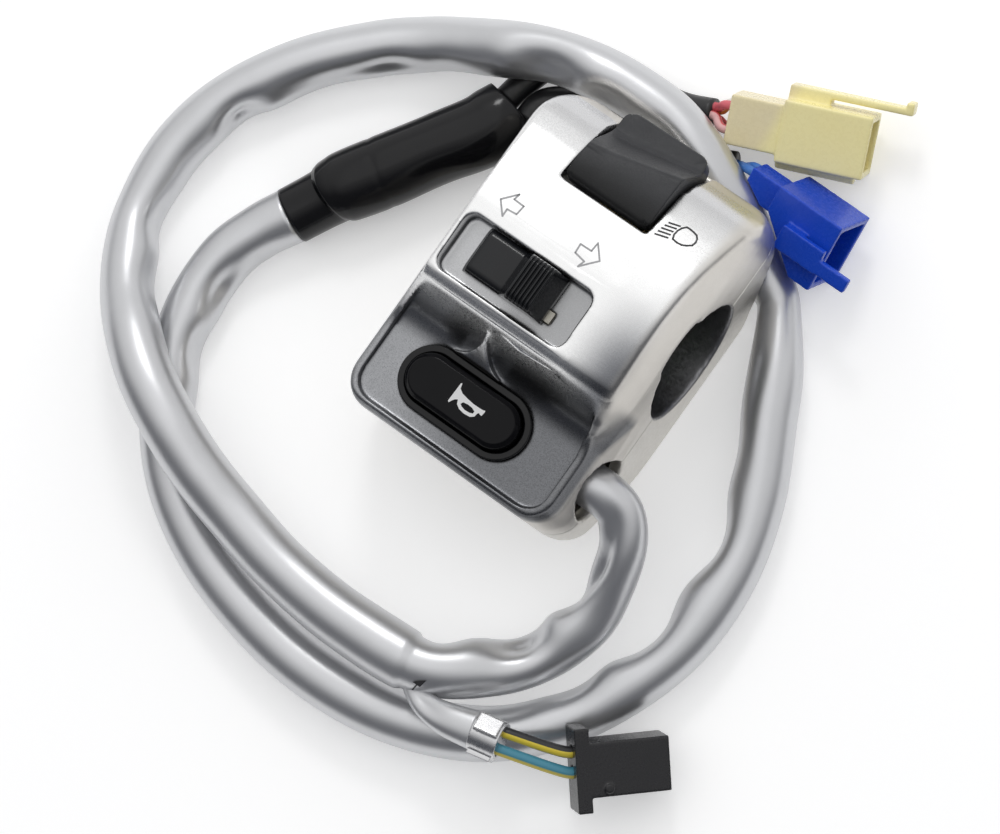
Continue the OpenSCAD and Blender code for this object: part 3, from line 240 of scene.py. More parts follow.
def lead_route(side, rest):
    """Route of one of the two leads, which leave the wrap side by side."""
    across = Vector((-WRAP_WAY.y, WRAP_WAY.x, 0))
    start = WRAP_END + across * side * (LEAD_R + LEAD_GAP) - Vector((0, 0, LEAD_DROP))
    return evenly([tuple(start), tuple(start + WRAP_WAY * LEAD_STRAIGHT), *rest])


MAIN_LEAD_ROUTE = lead_route(1, [
    (-28.5, 32, -15.9), (-17, 35.8, -15.9), (-7.5, 36.3, -15), (-1, 38.3, -13.3)])
SECOND_LEAD_ROUTE = lead_route(-1, [
    (-20.5, 28, -15.9), (-9, 30.4, -15.9), (1, 31, -15.9), (7, 33, -15)])
BRANCH_R = 3.0
BRANCH_ROUTE = [
    (12.5, -69.2, -8.2, 0.45), (16.5, -71.2, -6.2, 0.5), (20, -71.9, -5, 0.66), (24, -71.6, -4.4, 0.84),
    (29, -70.3, -4.2, 1)]
CLIP_LENGTH = 5.0


def wrap_shape(distance, angle):
    """Slight waves, the steps of the tape, and the shrunk end from 39 mm on."""
    waves = 0.04 * math.sin(distance / 3.1 + 2 * math.radians(angle))
    shrunk = 1.2 * max(0.0, (distance - 39) / 5) ** 2
    return waves - folds_at(distance, angle, WRAP_DENTS) - shrunk


def branch_shape(distance, angle):
    """Flattened within its first 8 mm, with one fold."""
    flat = 0.35 * math.cos(math.radians(2 * angle)) * min(1.0, distance / 8)
    return -flat - 0.5 * bump_at(distance, angle, 9, 20, 2, 30)


sleeve, sleeve_path = tube("sleeve", SLEEVE_ROUTE, SLEEVE_R, 48, 0.8, sleeve_shape)
wrap, _ = tube("wrap", WRAP_ROUTE, WRAP_R, 48, 0.4, wrap_shape)
main_tube, main_path = tube("main_tube", MAIN_LEAD_ROUTE, LEAD_R, 24, 0.7)
second_tube, second_path = tube("second_tube", SECOND_LEAD_ROUTE, LEAD_R, 24, 0.7)
branch, _ = tube("branch", BRANCH_ROUTE, BRANCH_R, 36, 0.4, branch_shape)
for piece, node in ((sleeve, "harness_sleeve"), (wrap, "harness_wrap"), (main_tube, "main_lead"),
                    (second_tube, "second_lead"), (branch, "branch_sleeve")):
    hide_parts(node)


# Wires between the sleeves' ends and the connectors

def in_connector(point, at, turn):
    """Point of a connector's own frame, carried to where the connector lies."""
    roll, pitch, yaw = (Matrix.Rotation(math.radians(a), 3, axis) for a, axis in zip(turn, "XYZ"))
    return Vector(at) + yaw @ pitch @ roll @ Vector(point)


MAIN_AT, MAIN_TURN = (2.2, 39.2, -12.1), (20, 0, 21)
SECOND_AT, SECOND_TURN = (18.6, 29.9, -10.8), (28.5, -3.7, -1.6)
BRANCH_AT, BRANCH_TURN = (45.6, -66.2, -7), (15, 22, 43)
MAIN_HOLES = [(-2, -1.9), (-2, 1.9), (2, -1.9), (2, 1.9)]
SECOND_HOLES = [(4, -0.6), (4, 1.9)]
SECOND_REAR = -6.5
BRANCH_HOLES = [3.1, -0.3]
# How much closer together the wires lie in the main lead, and how the second lead's pair lies in it
MAIN_CLOSER = 2.2
SECOND_MIDDLE, SECOND_SPREAD = 0.6, 0.7
WIRE_R = 0.8
BRANCH_WIRE_R, BRANCH_WIRE_OFF = 1.0, 1.5


def wire_to_hole(name, lead, spread, hole, at, turn):
    """Wire from a lead's open end into a hole in the rear of its connector."""
    end, before = Vector(lead[-1][:3]), Vector(lead[-2][:3])
    way = (end - before).normalized()
    start = end + spread - way * way.dot(spread)
    stops = [start - way, start + way * 0.9]
    stops += [in_connector((depth, *hole), at, turn) for depth in (-1, 2)]
    return tube(name, evenly([tuple(p) for p in stops]), WIRE_R, 16, 0.4)[0]


main_wires = [
    wire_to_hole("main_wire_%d" % i, MAIN_LEAD_ROUTE,
                 Vector((0, hole[0] / MAIN_CLOSER, hole[1] / MAIN_CLOSER)), hole, MAIN_AT, MAIN_TURN)
    for i, hole in enumerate(MAIN_HOLES)]
second_rear = in_connector((SECOND_REAR, 0, 0), SECOND_AT, SECOND_TURN)
second_wires = [
    wire_to_hole("second_wire_%d" % i, SECOND_LEAD_ROUTE,
                 Vector((0, 0, (hole[1] - SECOND_MIDDLE) * SECOND_SPREAD)), hole, second_rear, SECOND_TURN)
    for i, hole in enumerate(SECOND_HOLES)]

branch_end = Vector(BRANCH_ROUTE[-1][:3])
clip_way = (branch_end - Vector(BRANCH_ROUTE[-2][:3])).normalized()
clip_out = branch_end + clip_way * CLIP_LENGTH
clip_across = Vector((0, 0, 1)).cross(clip_way).normalized()


def branch_wire(name, side, hole):
    """Wire from the clip into a hole in the rear of the black connector."""
    start = clip_out + clip_across * BRANCH_WIRE_OFF * side
    stops = [start - clip_way * 1.5, start + clip_way * 1.2]
    stops += [in_connector((depth, hole, 0), BRANCH_AT, BRANCH_TURN) for depth in (-1.2, 2)]
    return tube(name, evenly([tuple(p) for p in stops]), BRANCH_WIRE_R, 20, 0.4)[0]


branch_wires = [
    branch_wire("branch_wire_%d" % i, side, hole)
    for i, (side, hole) in enumerate(zip((1, -1), BRANCH_HOLES))]
for wires, node in ((main_wires, "main_wires"), (second_wires, "second_wires"),
                    (branch_wires, "branch_wires")):
    for wire in wires:
        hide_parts(node)


# Tools for pieces that start from a solid or an outline

MERGE = 0.000002
MOST_TRIANGLES = 150000


def only(piece):
    """Selects one piece alone and makes it the active one."""
    bpy.ops.object.select_all(action="DESELECT")
    bpy.context.view_layer.objects.active = piece
    piece.select_set(True)
    return piece


def apply_all(piece):
    only(piece)
    for modifier in list(piece.modifiers):
        bpy.ops.object.modifier_apply(modifier=modifier.name)


def own_copy(node, name):
    """Copy of a CAD node with its own merged mesh, which stands for the node."""
    piece = add_piece(name, nodes[node].data.copy())
    piece.data.materials.clear()
    only(piece)
    bpy.ops.object.mode_set(mode="EDIT")
    bpy.ops.mesh.select_all(action="SELECT")
    bpy.ops.mesh.remove_doubles(threshold=MERGE)
    bpy.ops.object.mode_set(mode="OBJECT")
    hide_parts(node)
    return piece


def add_smooth(piece, passes, group=""):
    smooth = piece.modifiers.new("smooth", "SMOOTH")
    smooth.factor = 0.5
    smooth.iterations = passes
    smooth.vertex_group = group


def worn(piece, voxel, passes, zones=()):
    """A piece with its edges worn round: fine voxels, smoothed, then thinned where it is flat.

    Each zone is a test of a place in millimetres and the passes that wear the edges there further."""
    remesh = piece.modifiers.new("remesh", "REMESH")
    remesh.mode = "VOXEL"
    remesh.voxel_size = voxel * MM
    add_smooth(piece, passes)
    apply_all(piece)
    places = [point.co / MM for point in piece.data.vertices] if zones else []
    for number, (inside, more) in enumerate(zones):
        group = piece.vertex_groups.new(name="worn_%d" % number)
        group.add([i for i, place in enumerate(places) if inside(*place)], 1.0, "REPLACE")
        add_smooth(piece, more, group.name)
    apply_all(piece)
    piece.vertex_groups.clear()
    triangles = sum(len(p.vertices) - 2 for p in piece.data.polygons)
    if triangles > MOST_TRIANGLES:
        thin = piece.modifiers.new("thin", "DECIMATE")
        thin.ratio = MOST_TRIANGLES / triangles
        apply_all(piece)
    only(piece)
    bpy.ops.object.shade_smooth()
    return piece


def softened(node, name, voxel, passes, zones=()):
    """A node's form with its edges worn round."""
    return worn(own_copy(node, name), voxel, passes, zones)


# Housing and switches

def reshape(piece, move):
    """Moves each point of a new piece, in millimetres."""
    for point in piece.data.vertices:
        point.co = Vector(move(*(point.co / MM))) * MM
    piece.data.update()


def ramp(value, stops):
    """Straight lines through stops of (place, height), level past the ends."""
    for (x0, y0), (x1, y1) in zip(stops, stops[1:]):
        if value <= x1:
            return y0 + (y1 - y0) * max(0.0, value - x0) / (x1 - x0)
    return stops[-1][1]


# How far the face falls away at its lower right corner
CROWN = 1.6


def crown_form(x, y, z):
    """Face of the casting, rolled down toward its lower right corner."""
    reach = ramp(x, [(4, 0), (20, 1)]) ** 2 * ramp(y, [(-14, 1), (8, 0)])
    return x, y, z - CROWN * reach * ramp(z, [(12, 0), (19, 1)])


ROCKER_X, ROCKER_HALF = 0.8, 8.3
ROCKER_LOW, ROCKER_TOP = 11.95, 28.3
# How far the rocker's crest and hollow run askew at its right end, by place up the face
ROCKER_SKEW = [(13, 0), (20.4, 1.9), (24.2, 1.3), (28, 0.2)]
# How much rounder than a plane the rocker's lobe is, and how much its crest rises at the left end
ROCKER_BULGE = 1.5
ROCKER_RISE = 1.3


def rocker_form(x, y, z):
    """Rounded lobe, skewed crest and rounded corners of the moulded rocker."""
    upper = ramp(z, [(7, 0), (10, 1)])
    z -= ROCKER_BULGE * ramp(y, [(ROCKER_LOW, 1), (20, 0)]) ** 2 * ramp(z, [(15, 0), (18, 1)])
    share = (x - ROCKER_X) / ROCKER_HALF
    y += ramp(y, ROCKER_SKEW) * share * upper
    rise = ramp(share, [(-1, 1), (-0.6, 0)]) * ramp(y, [(18, 0), (20, 1), (22.5, 1), (24, 0)])
    z += ROCKER_RISE * rise * upper
    for edge, way, round_low, round_high in ((ROCKER_X - ROCKER_HALF, 1, 1.3, 2.2),
                                             (ROCKER_X + ROCKER_HALF, -1, 2.0, 2.2)):
        for end, end_way, radius in ((ROCKER_LOW, 1, round_low), (ROCKER_TOP, -1, round_high)):
            across, along = radius - (x - edge) * way, radius - (y - end) * end_way
            if across > 0 and along > 0:
                share = max(across, along) / math.hypot(across, along)
                x = edge + way * (radius - across * share)
                y = end + end_way * (radius - along * share)
    return x, y, z


KNOB_LEFT, KNOB_Y, KNOB_HALF = -12.3, -5.8, 4.25
KNOB_PLATE = (18.0, 20.0)
KNOB_ROUND = 1.7
# Outline of the slider from the side: its plate, the slope up to its ribbed ridge, and its right end
KNOB_UP = [(-12.3, 17.95), (-12.3, 19.35), (-11.4, 20.45), (-4.4, 20.45), (-2.4, 24.6)]
KNOB_DOWN = [(2.3, 24.6), (3.7, 19.15), (3.7, 17.95)]
RIB_COUNT, RIB_PITCH, RIB_DEPTH, RIDGE_TOP = 6, 0.72, 0.5, 24.85
KNOB_STEM = [(-7.3, 16.25), (-7.3, 18.3), (-1.3, 18.3), (-1.3, 16.25)]
STEM_HALF = 2.0


def slabs(name, outlines):
    """Closed slabs in one mesh, each with an outline in X and Z and a half width to both sides of KNOB_Y."""
    points, faces = [], []
    for outline, half in outlines:
        first, count = len(points), len(outline)
        points += [Vector((x, KNOB_Y + side * half, z)) * MM for side in (-1, 1) for x, z in outline]
        faces += [list(range(first, first + count)),
                  list(range(first + 2 * count - 1, first + count - 1, -1))]
        for k in range(count):
            n = (k + 1) % count
            faces.append((first + n, first + k, first + count + k, first + count + n))
    return add_mesh(name, points, faces)


def knob_outline():
    """The slider's outline with the grooves between the ribs on its ridge."""
    ribs = []
    for i in range(RIB_COUNT):
        middle = (i - (RIB_COUNT - 1) / 2) * RIB_PITCH
        ribs += [(middle - RIB_PITCH * 0.3, RIDGE_TOP), (middle, RIDGE_TOP - RIB_DEPTH),
                 (middle + RIB_PITCH * 0.3, RIDGE_TOP)]
    return KNOB_UP + ribs + KNOB_DOWN


def knob_form(x, y, z):
    """Plate of the slider with its long edges and its free end well rounded."""
    share = ramp(z, [(KNOB_PLATE[0], 0), (KNOB_PLATE[1], 1)])
    for over in (abs(y - KNOB_Y) - KNOB_HALF + KNOB_ROUND, KNOB_LEFT + KNOB_ROUND - x):
        over = min(max(over, 0.0), KNOB_ROUND)
        z -= share * 0.8 * (KNOB_ROUND - math.sqrt(KNOB_ROUND ** 2 - over ** 2))
    return x, y, z


# Where polishing has worn the casting's edges rounder, with the passes for each
WORN = [
    (lambda x, y, z: x > 11.5 and y > -18 and z > 10, 200),
    (lambda x, y, z: y < -12.7 and z > 7.2, 40),
    (lambda x, y, z: x < -17.3 and y > -14 and z > 8, 70),
    (lambda x, y, z: y > 21 and z > 3, 60)]

front = softened("front_housing", "front_casting", 0.22, 14, WORN)
reshape(front, crown_form)
rear = softened("rear_housing", "rear_casting", 0.3, 10)
rocker = softened("dimmer_rocker", "rocker", 0.14, 18)
reshape(rocker, rocker_form)
knob = worn(slabs("knob", [(knob_outline(), KNOB_HALF), (KNOB_STEM, STEM_HALF)]), 0.09, 7)
reshape(knob, knob_form)
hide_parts("turn_knob")
tab = softened("turn_guide_tab", "tab", 0.1, 4)
bezel = softened("horn_bezel", "bezel", 0.12, 6)
button = softened("horn_button", "button", 0.14, 8)
main_plug = softened("main_connector", "main_plug", 0.14, 50)
second_plug = softened("second_connector", "second_plug", 0.14, 26)
branch_plug = softened("branch_connector", "branch_plug", 0.12, 24)
clip = softened("branch_clip", "clip", 0.1, 5)
inner = softened("inner_wires", "inner_loom", 0.16, 4)
horn_coil = own_copy("horn_spring", "horn_coil")


# Printed symbols, and painted shade at the sleeve's slit: thin lines laid on the surfaces, in millimetres
# along and up the face

LIFT = 0.025
STRIP_STEP = 0.3
RAY_FROM = 40
LEFT_ARROW = [
    (-13.11, 2.88), (-11.08, 5.24), (-11.28, 4.1), (-9.29, 4.03), (-9.44, 2.29), (-11.21, 2.12),
    (-11.17, 0.76)]
RIGHT_ARROW = [
    (6.28, 3.64), (4.25, 5.91), (4.18, 4.24), (2.05, 4.19), (2.22, 2.54), (4.28, 2.17), (3.91, 0.91)]
BEAM_RAYS = [
    [(11.08, 15.32), (12.9, 15.87)], [(10.88, 14.62), (12.67, 15.15)], [(10.76, 13.91), (12.57, 14.43)],
    [(10.66, 13.19), (12.56, 13.75)], [(10.56, 12.46), (12.59, 13.09)]]
BEAM_LAMP = [
    (13.35, 13.4), (13.03, 14.17), (13.05, 14.97), (13.3, 15.73), (13.83, 16.37), (14.4, 16.4),
    (15.26, 16.31), (15.97, 16.14), (16.4, 15.68), (16.62, 15.05), (16.48, 14.33), (15.82, 13.76),
    (15.11, 13.4), (14.26, 13.29)]
HORN_OUTLINE = [
    (-3.26, -28.5), (-3.15, -24.97), (-2.92, -24.86), (-2.69, -25.72), (-1.9, -26.2), (-0.7, -26.41),
    (0.58, -26.57), (1.62, -26.56), (2.51, -26.51), (2.89, -26.35), (2.95, -26.67), (2.86, -27.41),
    (2.56, -27.42), (2.23, -27.25), (2.06, -27.48), (1.95, -28.16), (1.34, -28.63), (0.18, -28.76),
    (-0.91, -28.59), (-1.67, -28.12), (-1.98, -27.42), (-2.41, -27.68), (-2.72, -28.09), (-3.0, -28.68)]
HORN_HOLE = [
    (-1.19, -27.76), (-0.99, -27.3), (-0.15, -27.15), (0.82, -27.21), (1.45, -27.48), (1.45, -27.9),
    (0.88, -28.13), (-0.03, -28.19), (-0.81, -28.0)]
# The slit's edge line and opening are drawn in black as painted shade.
SLIT_LINE = [(16.8, -69.6), (16.5, -70.5), (16.2, -71.3)]
SLIT_OPENING = [(17.8, -68.3), (17.3, -69.9), (15.9, -69.9), (16.6, -69.2)]


def height_at(piece, x, y):
    """Height of a piece's upper surface in millimetres."""
    hit, place, _, _ = piece.ray_cast(Vector((x, y, RAY_FROM)) * MM, Vector((0, 0, -1)))
    return place.z / MM if hit else 0.0


def print_and_shade_lines(name, piece, lines, width):
    """Thin lines that follow a piece's surface, as one mesh of short strips."""
    points, faces = [], []
    for line in lines:
        for start, end in zip(line, line[1:]):
            start, end = Vector(start), Vector(end)
            way = (end - start).normalized()
            start, end = start - way * width / 3, end + way * width / 3
            across = Vector((-way.y, way.x)) * width / 2
            count = max(2, math.ceil((end - start).length / STRIP_STEP))
            for k in range(count + 1):
                middle = start.lerp(end, k / count)
                for edge in (middle + across, middle - across):
                    points.append(Vector((edge.x, edge.y, height_at(piece, edge.x, edge.y) + LIFT)) * MM)
                if k:
                    last = len(points)
                    faces.append((last - 4, last - 3, last - 1, last - 2))
    return add_mesh(name, points, faces)


def printed_shape(name, outlines, height):
    """Flat filled shape between outlines, the later ones its holes."""
    curve = bpy.data.curves.new(name, "CURVE")
    curve.dimensions = "2D"
    curve.fill_mode = "BOTH"
    curve.extrude = LIFT * MM
    for outline in outlines:
        line = curve.splines.new("POLY")
        line.points.add(len(outline) - 1)
        for point, (x, y) in zip(line.points, outline):
            point.co = (x * MM, y * MM, 0, 1)
        line.use_cyclic_u = True
    only(add_piece(name, curve))
    bpy.ops.object.convert(target="MESH")
    symbol = bpy.context.active_object
    for point in symbol.data.vertices:
        point.co.z += height * MM
    return symbol


def shade_patch(name, piece, outline):
    """Small filled shape that lies on a piece's surface, used as painted shade."""
    points = [Vector((x, y, height_at(piece, x, y) + 8 * LIFT)) * MM for x, y in outline]
    return add_mesh(name, points, [list(range(len(points)))])


def closed(outline):
    return [*outline, outline[0]]


left_arrow = print_and_shade_lines("left_arrow", front, [closed(LEFT_ARROW)], 0.3)
right_arrow = print_and_shade_lines("right_arrow", front, [closed(RIGHT_ARROW)], 0.3)
beam_symbol = print_and_shade_lines("beam_symbol", front, [closed(BEAM_LAMP), *BEAM_RAYS], 0.3)
# Painted shade: a black line along the slit's edge and a black patch over its opening.
slit_edge = print_and_shade_lines("slit_edge", sleeve, [SLIT_LINE], 0.22)
slit_shade = shade_patch("slit_shade", sleeve, SLIT_OPENING)
horn_symbol = printed_shape("horn_symbol", [HORN_OUTLINE, HORN_HOLE], height_at(button, 0, -30))


# Materials

def grain_group():
    """Shared grain on Object coordinates: fine and broad noise for a number of grains in each metre."""
    group = bpy.data.node_groups.new("grain", "ShaderNodeTree")
    group.interface.new_socket("Grains", in_out="INPUT", socket_type="NodeSocketFloat")
    for name in ("Fine", "Broad"):
        group.interface.new_socket(name, in_out="OUTPUT", socket_type="NodeSocketFloat")
    given = group.nodes.new("NodeGroupInput")
    result = group.nodes.new("NodeGroupOutput")
    place = group.nodes.new("ShaderNodeTexCoord")
    fewer = group.nodes.new("ShaderNodeMath")
    fewer.operation = "DIVIDE"
    fewer.inputs[1].default_value = 12
    group.links.new(given.outputs["Grains"], fewer.inputs[0])
    for name, count, detail in (("Fine", given.outputs["Grains"], 4.0), ("Broad", fewer.outputs[0], 2.0)):
        noise = group.nodes.new("ShaderNodeTexNoise")
        noise.inputs["Detail"].default_value = detail
        noise.inputs["Roughness"].default_value = 0.6
        group.links.new(place.outputs["Object"], noise.inputs["Vector"])
        group.links.new(count, noise.inputs["Scale"])
        group.links.new(noise.outputs["Fac"], result.inputs[name])
    return group


GRAIN = grain_group()
BORE_R = 11.15


def new_material(name):
    material = bpy.data.materials.new(name)
    material.use_nodes = True
    shader = material.node_tree.nodes["Principled BSDF"]
    return material, material.node_tree, shader


def grain(tree, count):
    """Fine and broad grain, as many grains for each metre as the count says."""
    node = tree.nodes.new("ShaderNodeGroup")
    node.node_tree = GRAIN
    node.inputs["Grains"].default_value = count
    return node.outputs["Fine"], node.outputs["Broad"]


def spread(tree, value, low, high, from_low=0.3, from_high=0.7):
    span = tree.nodes.new("ShaderNodeMapRange")
    span.interpolation_type = "SMOOTHSTEP"
    span.inputs["From Min"].default_value = from_low
    span.inputs["From Max"].default_value = from_high
    span.inputs["To Min"].default_value = low
    span.inputs["To Max"].default_value = high
    tree.links.new(value, span.inputs["Value"])
    return span.outputs["Result"]


def joined(tree, operation, first, second):
    node = tree.nodes.new("ShaderNodeMath")
    node.operation = operation
    for socket, value in zip(node.inputs, (first, second)):
        if isinstance(value, float):
            socket.default_value = value
        else:
            tree.links.new(value, socket)
    return node.outputs[0]


def mixed(tree, share, first, second, kind="RGBA"):
    """Mix of two colours or values, each a constant or another node's output."""
    mix = tree.nodes.new("ShaderNodeMix")
    mix.data_type = kind
    sort = "RGBA" if kind == "RGBA" else "VALUE"
    for name, value in (("A", first), ("B", second)):
        socket = [s for s in mix.inputs if s.name == name and s.type == sort][0]
        if isinstance(value, bpy.types.NodeSocket):
            tree.links.new(value, socket)
        else:
            socket.default_value = (*value, 1) if kind == "RGBA" else value
    tree.links.new(share, mix.inputs["Factor"])
    return [s for s in mix.outputs if s.type == sort][0]


def bump(tree, shader, value, strength, distance):
    node = tree.nodes.new("ShaderNodeBump")
    node.inputs["Strength"].default_value = strength
    node.inputs["Distance"].default_value = distance * MM
    tree.links.new(value, node.inputs["Height"])
    tree.links.new(node.outputs["Normal"], shader.inputs["Normal"])


def grained(name, first, second, rough, grains, metallic=0.0, height=0.02, strength=0.3, gloss=0.5):
    """A finish whose colour, roughness and fine relief vary with a grain of so many grains for each metre."""
    material, tree, shader = new_material(name)
    fine, broad = grain(tree, grains)
    tree.links.new(mixed(tree, broad, first, second), shader.inputs["Base Color"])
    tree.links.new(spread(tree, fine, rough[0], rough[1]), shader.inputs["Roughness"])
    shader.inputs["Metallic"].default_value = metallic
    shader.inputs["Specular IOR Level"].default_value = gloss
    bump(tree, shader, fine, strength, height)
    return material


def zone(tree, axis, start, end):
    """Share that rises from 0 at one place along an axis of the object to 1 at another, in millimetres."""
    place = tree.nodes.new("ShaderNodeTexCoord")
    parts = tree.nodes.new("ShaderNodeSeparateXYZ")
    tree.links.new(place.outputs["Object"], parts.inputs["Vector"])
    low, high = (0.0, 1.0) if start < end else (1.0, 0.0)
    return spread(tree, parts.outputs[axis], low, high, min(start, end) * MM, max(start, end) * MM)


def box_zone(tree, limits):
    """Share inside several limits at once."""
    share = zone(tree, *limits[0])
    for limit in limits[1:]:
        share = joined(tree, "MULTIPLY", share, zone(tree, *limit))
    return share


def bore_shade_zone(tree):
    """Share on the bore's wall, where a darker grey is painted as shade."""
    place = tree.nodes.new("ShaderNodeTexCoord")
    flat = tree.nodes.new("ShaderNodeVectorMath")
    flat.operation = "MULTIPLY"
    flat.inputs[1].default_value = (0, 1, 1)
    size = tree.nodes.new("ShaderNodeVectorMath")
    size.operation = "LENGTH"
    tree.links.new(place.outputs["Object"], flat.inputs[0])
    tree.links.new(flat.outputs["Vector"], size.inputs[0])
    return spread(tree, size.outputs["Value"], 1.0, 0.0, (BORE_R + 0.1) * MM, (BORE_R + 0.5) * MM)


def rear_casting():
    """Satin rear half with painted shade on the bore's wall."""
    material, tree, shader = new_material("rear_casting")
    fine, broad = grain(tree, 1600)
    side = mixed(tree, broad, (0.64, 0.62, 0.58), (0.72, 0.7, 0.66))
    # The bore's wall gets a dark grey painted as shade.
    tree.links.new(mixed(tree, bore_shade_zone(tree), side, (0.26, 0.26, 0.27)), shader.inputs["Base Color"])
    tree.links.new(spread(tree, fine, 0.3, 0.45), shader.inputs["Roughness"])
    shader.inputs["Metallic"].default_value = 1.0
    bump(tree, shader, fine, 0.2, 0.015)
    return material


def die_casting():
    """Polished face, speckled as-cast horn panel and satin sides in one casting."""
    material, tree, shader = new_material("polished_casting")
    fine, broad = grain(tree, 2600)
    speckle, _ = grain(tree, 5600)
    panel = box_zone(tree, [("Y", -12.6, -15), ("Z", 6.0, 8.0), ("Z", 18.0, 8.6)])
    recess = box_zone(tree, [("Y", -12.6, -12), ("Y", -0.6, -1.4), ("X", -17, -16), ("X", 10, 9.2),
                             ("Z", 19.6, 18.4), ("Z", 14, 15)])
    panel = joined(tree, "MAXIMUM", panel, joined(tree, "MULTIPLY", recess, 0.7))
    bore = bore_shade_zone(tree)
    satin = joined(tree, "MAXIMUM", zone(tree, "X", 18.5, 21.5), zone(tree, "Y", -36.4, -37.0))
    satin = joined(tree, "MAXIMUM", satin, zone(tree, "Z", 8.0, 7.0))
    face = mixed(tree, broad, (0.8, 0.8, 0.8), (0.88, 0.88, 0.88))
    # Painted dark reflection: the face's lower right corner is mixed toward dark grey where it rolls away.
    corner = box_zone(tree, [("X", 9.0, 18.5), ("Y", 6.0, -10.0), ("Z", 12.0, 15.0)])
    face = mixed(tree, corner, face, (0.2, 0.205, 0.22))
    # Painted shade: the face turns greyer toward its top, by the rocker.
    face = mixed(tree, zone(tree, "Y", 14.0, 24.0), face, (0.6, 0.6, 0.61))
    specks = spread(tree, speckle, 0.0, 1.0, 0.36, 0.62)
    # The as-cast speckle is the panel's own; its paler left and darker right are painted light and shade.
    rough_cast_with_painted_shade = mixed(tree, zone(tree, "X", -16.0, 8.0),
                       mixed(tree, specks, (0.25, 0.255, 0.265), (0.36, 0.365, 0.38)),
                       mixed(tree, specks, (0.125, 0.128, 0.135), (0.19, 0.194, 0.205)))
    side = mixed(tree, broad, (0.62, 0.595, 0.555), (0.7, 0.675, 0.635))
    colour = mixed(tree, panel, mixed(tree, satin, face, side), rough_cast_with_painted_shade)
    # The bore's wall gets the same dark grey painted as shade.
    tree.links.new(mixed(tree, bore, colour, (0.26, 0.26, 0.27)), shader.inputs["Base Color"])
    polished = spread(tree, fine, 0.24, 0.32)
    rough = mixed(tree, satin, polished, spread(tree, fine, 0.32, 0.42), "FLOAT")
    rough = mixed(tree, panel, rough, spread(tree, speckle, 0.26, 0.4), "FLOAT")
    tree.links.new(rough, shader.inputs["Roughness"])
    shader.inputs["Metallic"].default_value = 1.0
    relief = mixed(tree, panel, joined(tree, "MULTIPLY", fine, 0.04), speckle, "FLOAT")
    bump(tree, shader, relief, 0.35, 0.03)
    return material


def rocker_finish():
    """Grained black plastic, painted paler as light from the lobe up to the crest and plate."""
    material, tree, shader = new_material("grained_black")
    fine, broad = grain(tree, 3600)
    dark = mixed(tree, broad, (0.006, 0.0062, 0.0066), (0.012, 0.0123, 0.013))
    pale = mixed(tree, broad, (0.034, 0.035, 0.038), (0.052, 0.053, 0.057))
    # Painted light: the crest and plate are paler, the lobe stays dark.
    tree.links.new(mixed(tree, zone(tree, "Y", 12.5, 20.0), dark, pale), shader.inputs["Base Color"])
    tree.links.new(spread(tree, fine, 0.4, 0.55), shader.inputs["Roughness"])
    shader.inputs["Specular IOR Level"].default_value = 0.25
    bump(tree, shader, fine, 0.4, 0.04)
    return material


def pale_nylon():
    """Thin pale yellow nylon, greyer at the rear block where wires fill it."""
    material, tree, shader = new_material("pale_yellow")
    fine, broad = grain(tree, 1200)
    front_part = mixed(tree, broad, (0.97, 0.86, 0.4), (0.98, 0.9, 0.47))
    rear_part = mixed(tree, broad, (0.86, 0.74, 0.42), (0.84, 0.76, 0.52))
    colour = mixed(tree, zone(tree, "X", 8.5, 11.5), rear_part, front_part)
    tree.links.new(colour, shader.inputs["Base Color"])
    tree.links.new(spread(tree, fine, 0.24, 0.32), shader.inputs["Roughness"])
    bump(tree, shader, fine, 0.05, 0.002)
    return material


def striped(name, ground, stripe, middle, half):
    """Wire with a stripe along it at one side, by its own UV map."""
    material, tree, shader = new_material(name)
    fine, _ = grain(tree, 1600)
    mark = tree.nodes.new("ShaderNodeUVMap")
    mark.uv_map = "along"
    parts = tree.nodes.new("ShaderNodeSeparateXYZ")
    tree.links.new(mark.outputs["UV"], parts.inputs["Vector"])
    off = joined(tree, "ABSOLUTE", joined(tree, "SUBTRACT", parts.outputs["X"], middle), 0.0)
    inside = spread(tree, off, 1.0, 0.0, half * 0.8, half * 1.2)
    tree.links.new(mixed(tree, inside, ground, stripe), shader.inputs["Base Color"])
    tree.links.new(spread(tree, fine, 0.3, 0.42), shader.inputs["Roughness"])
    return material


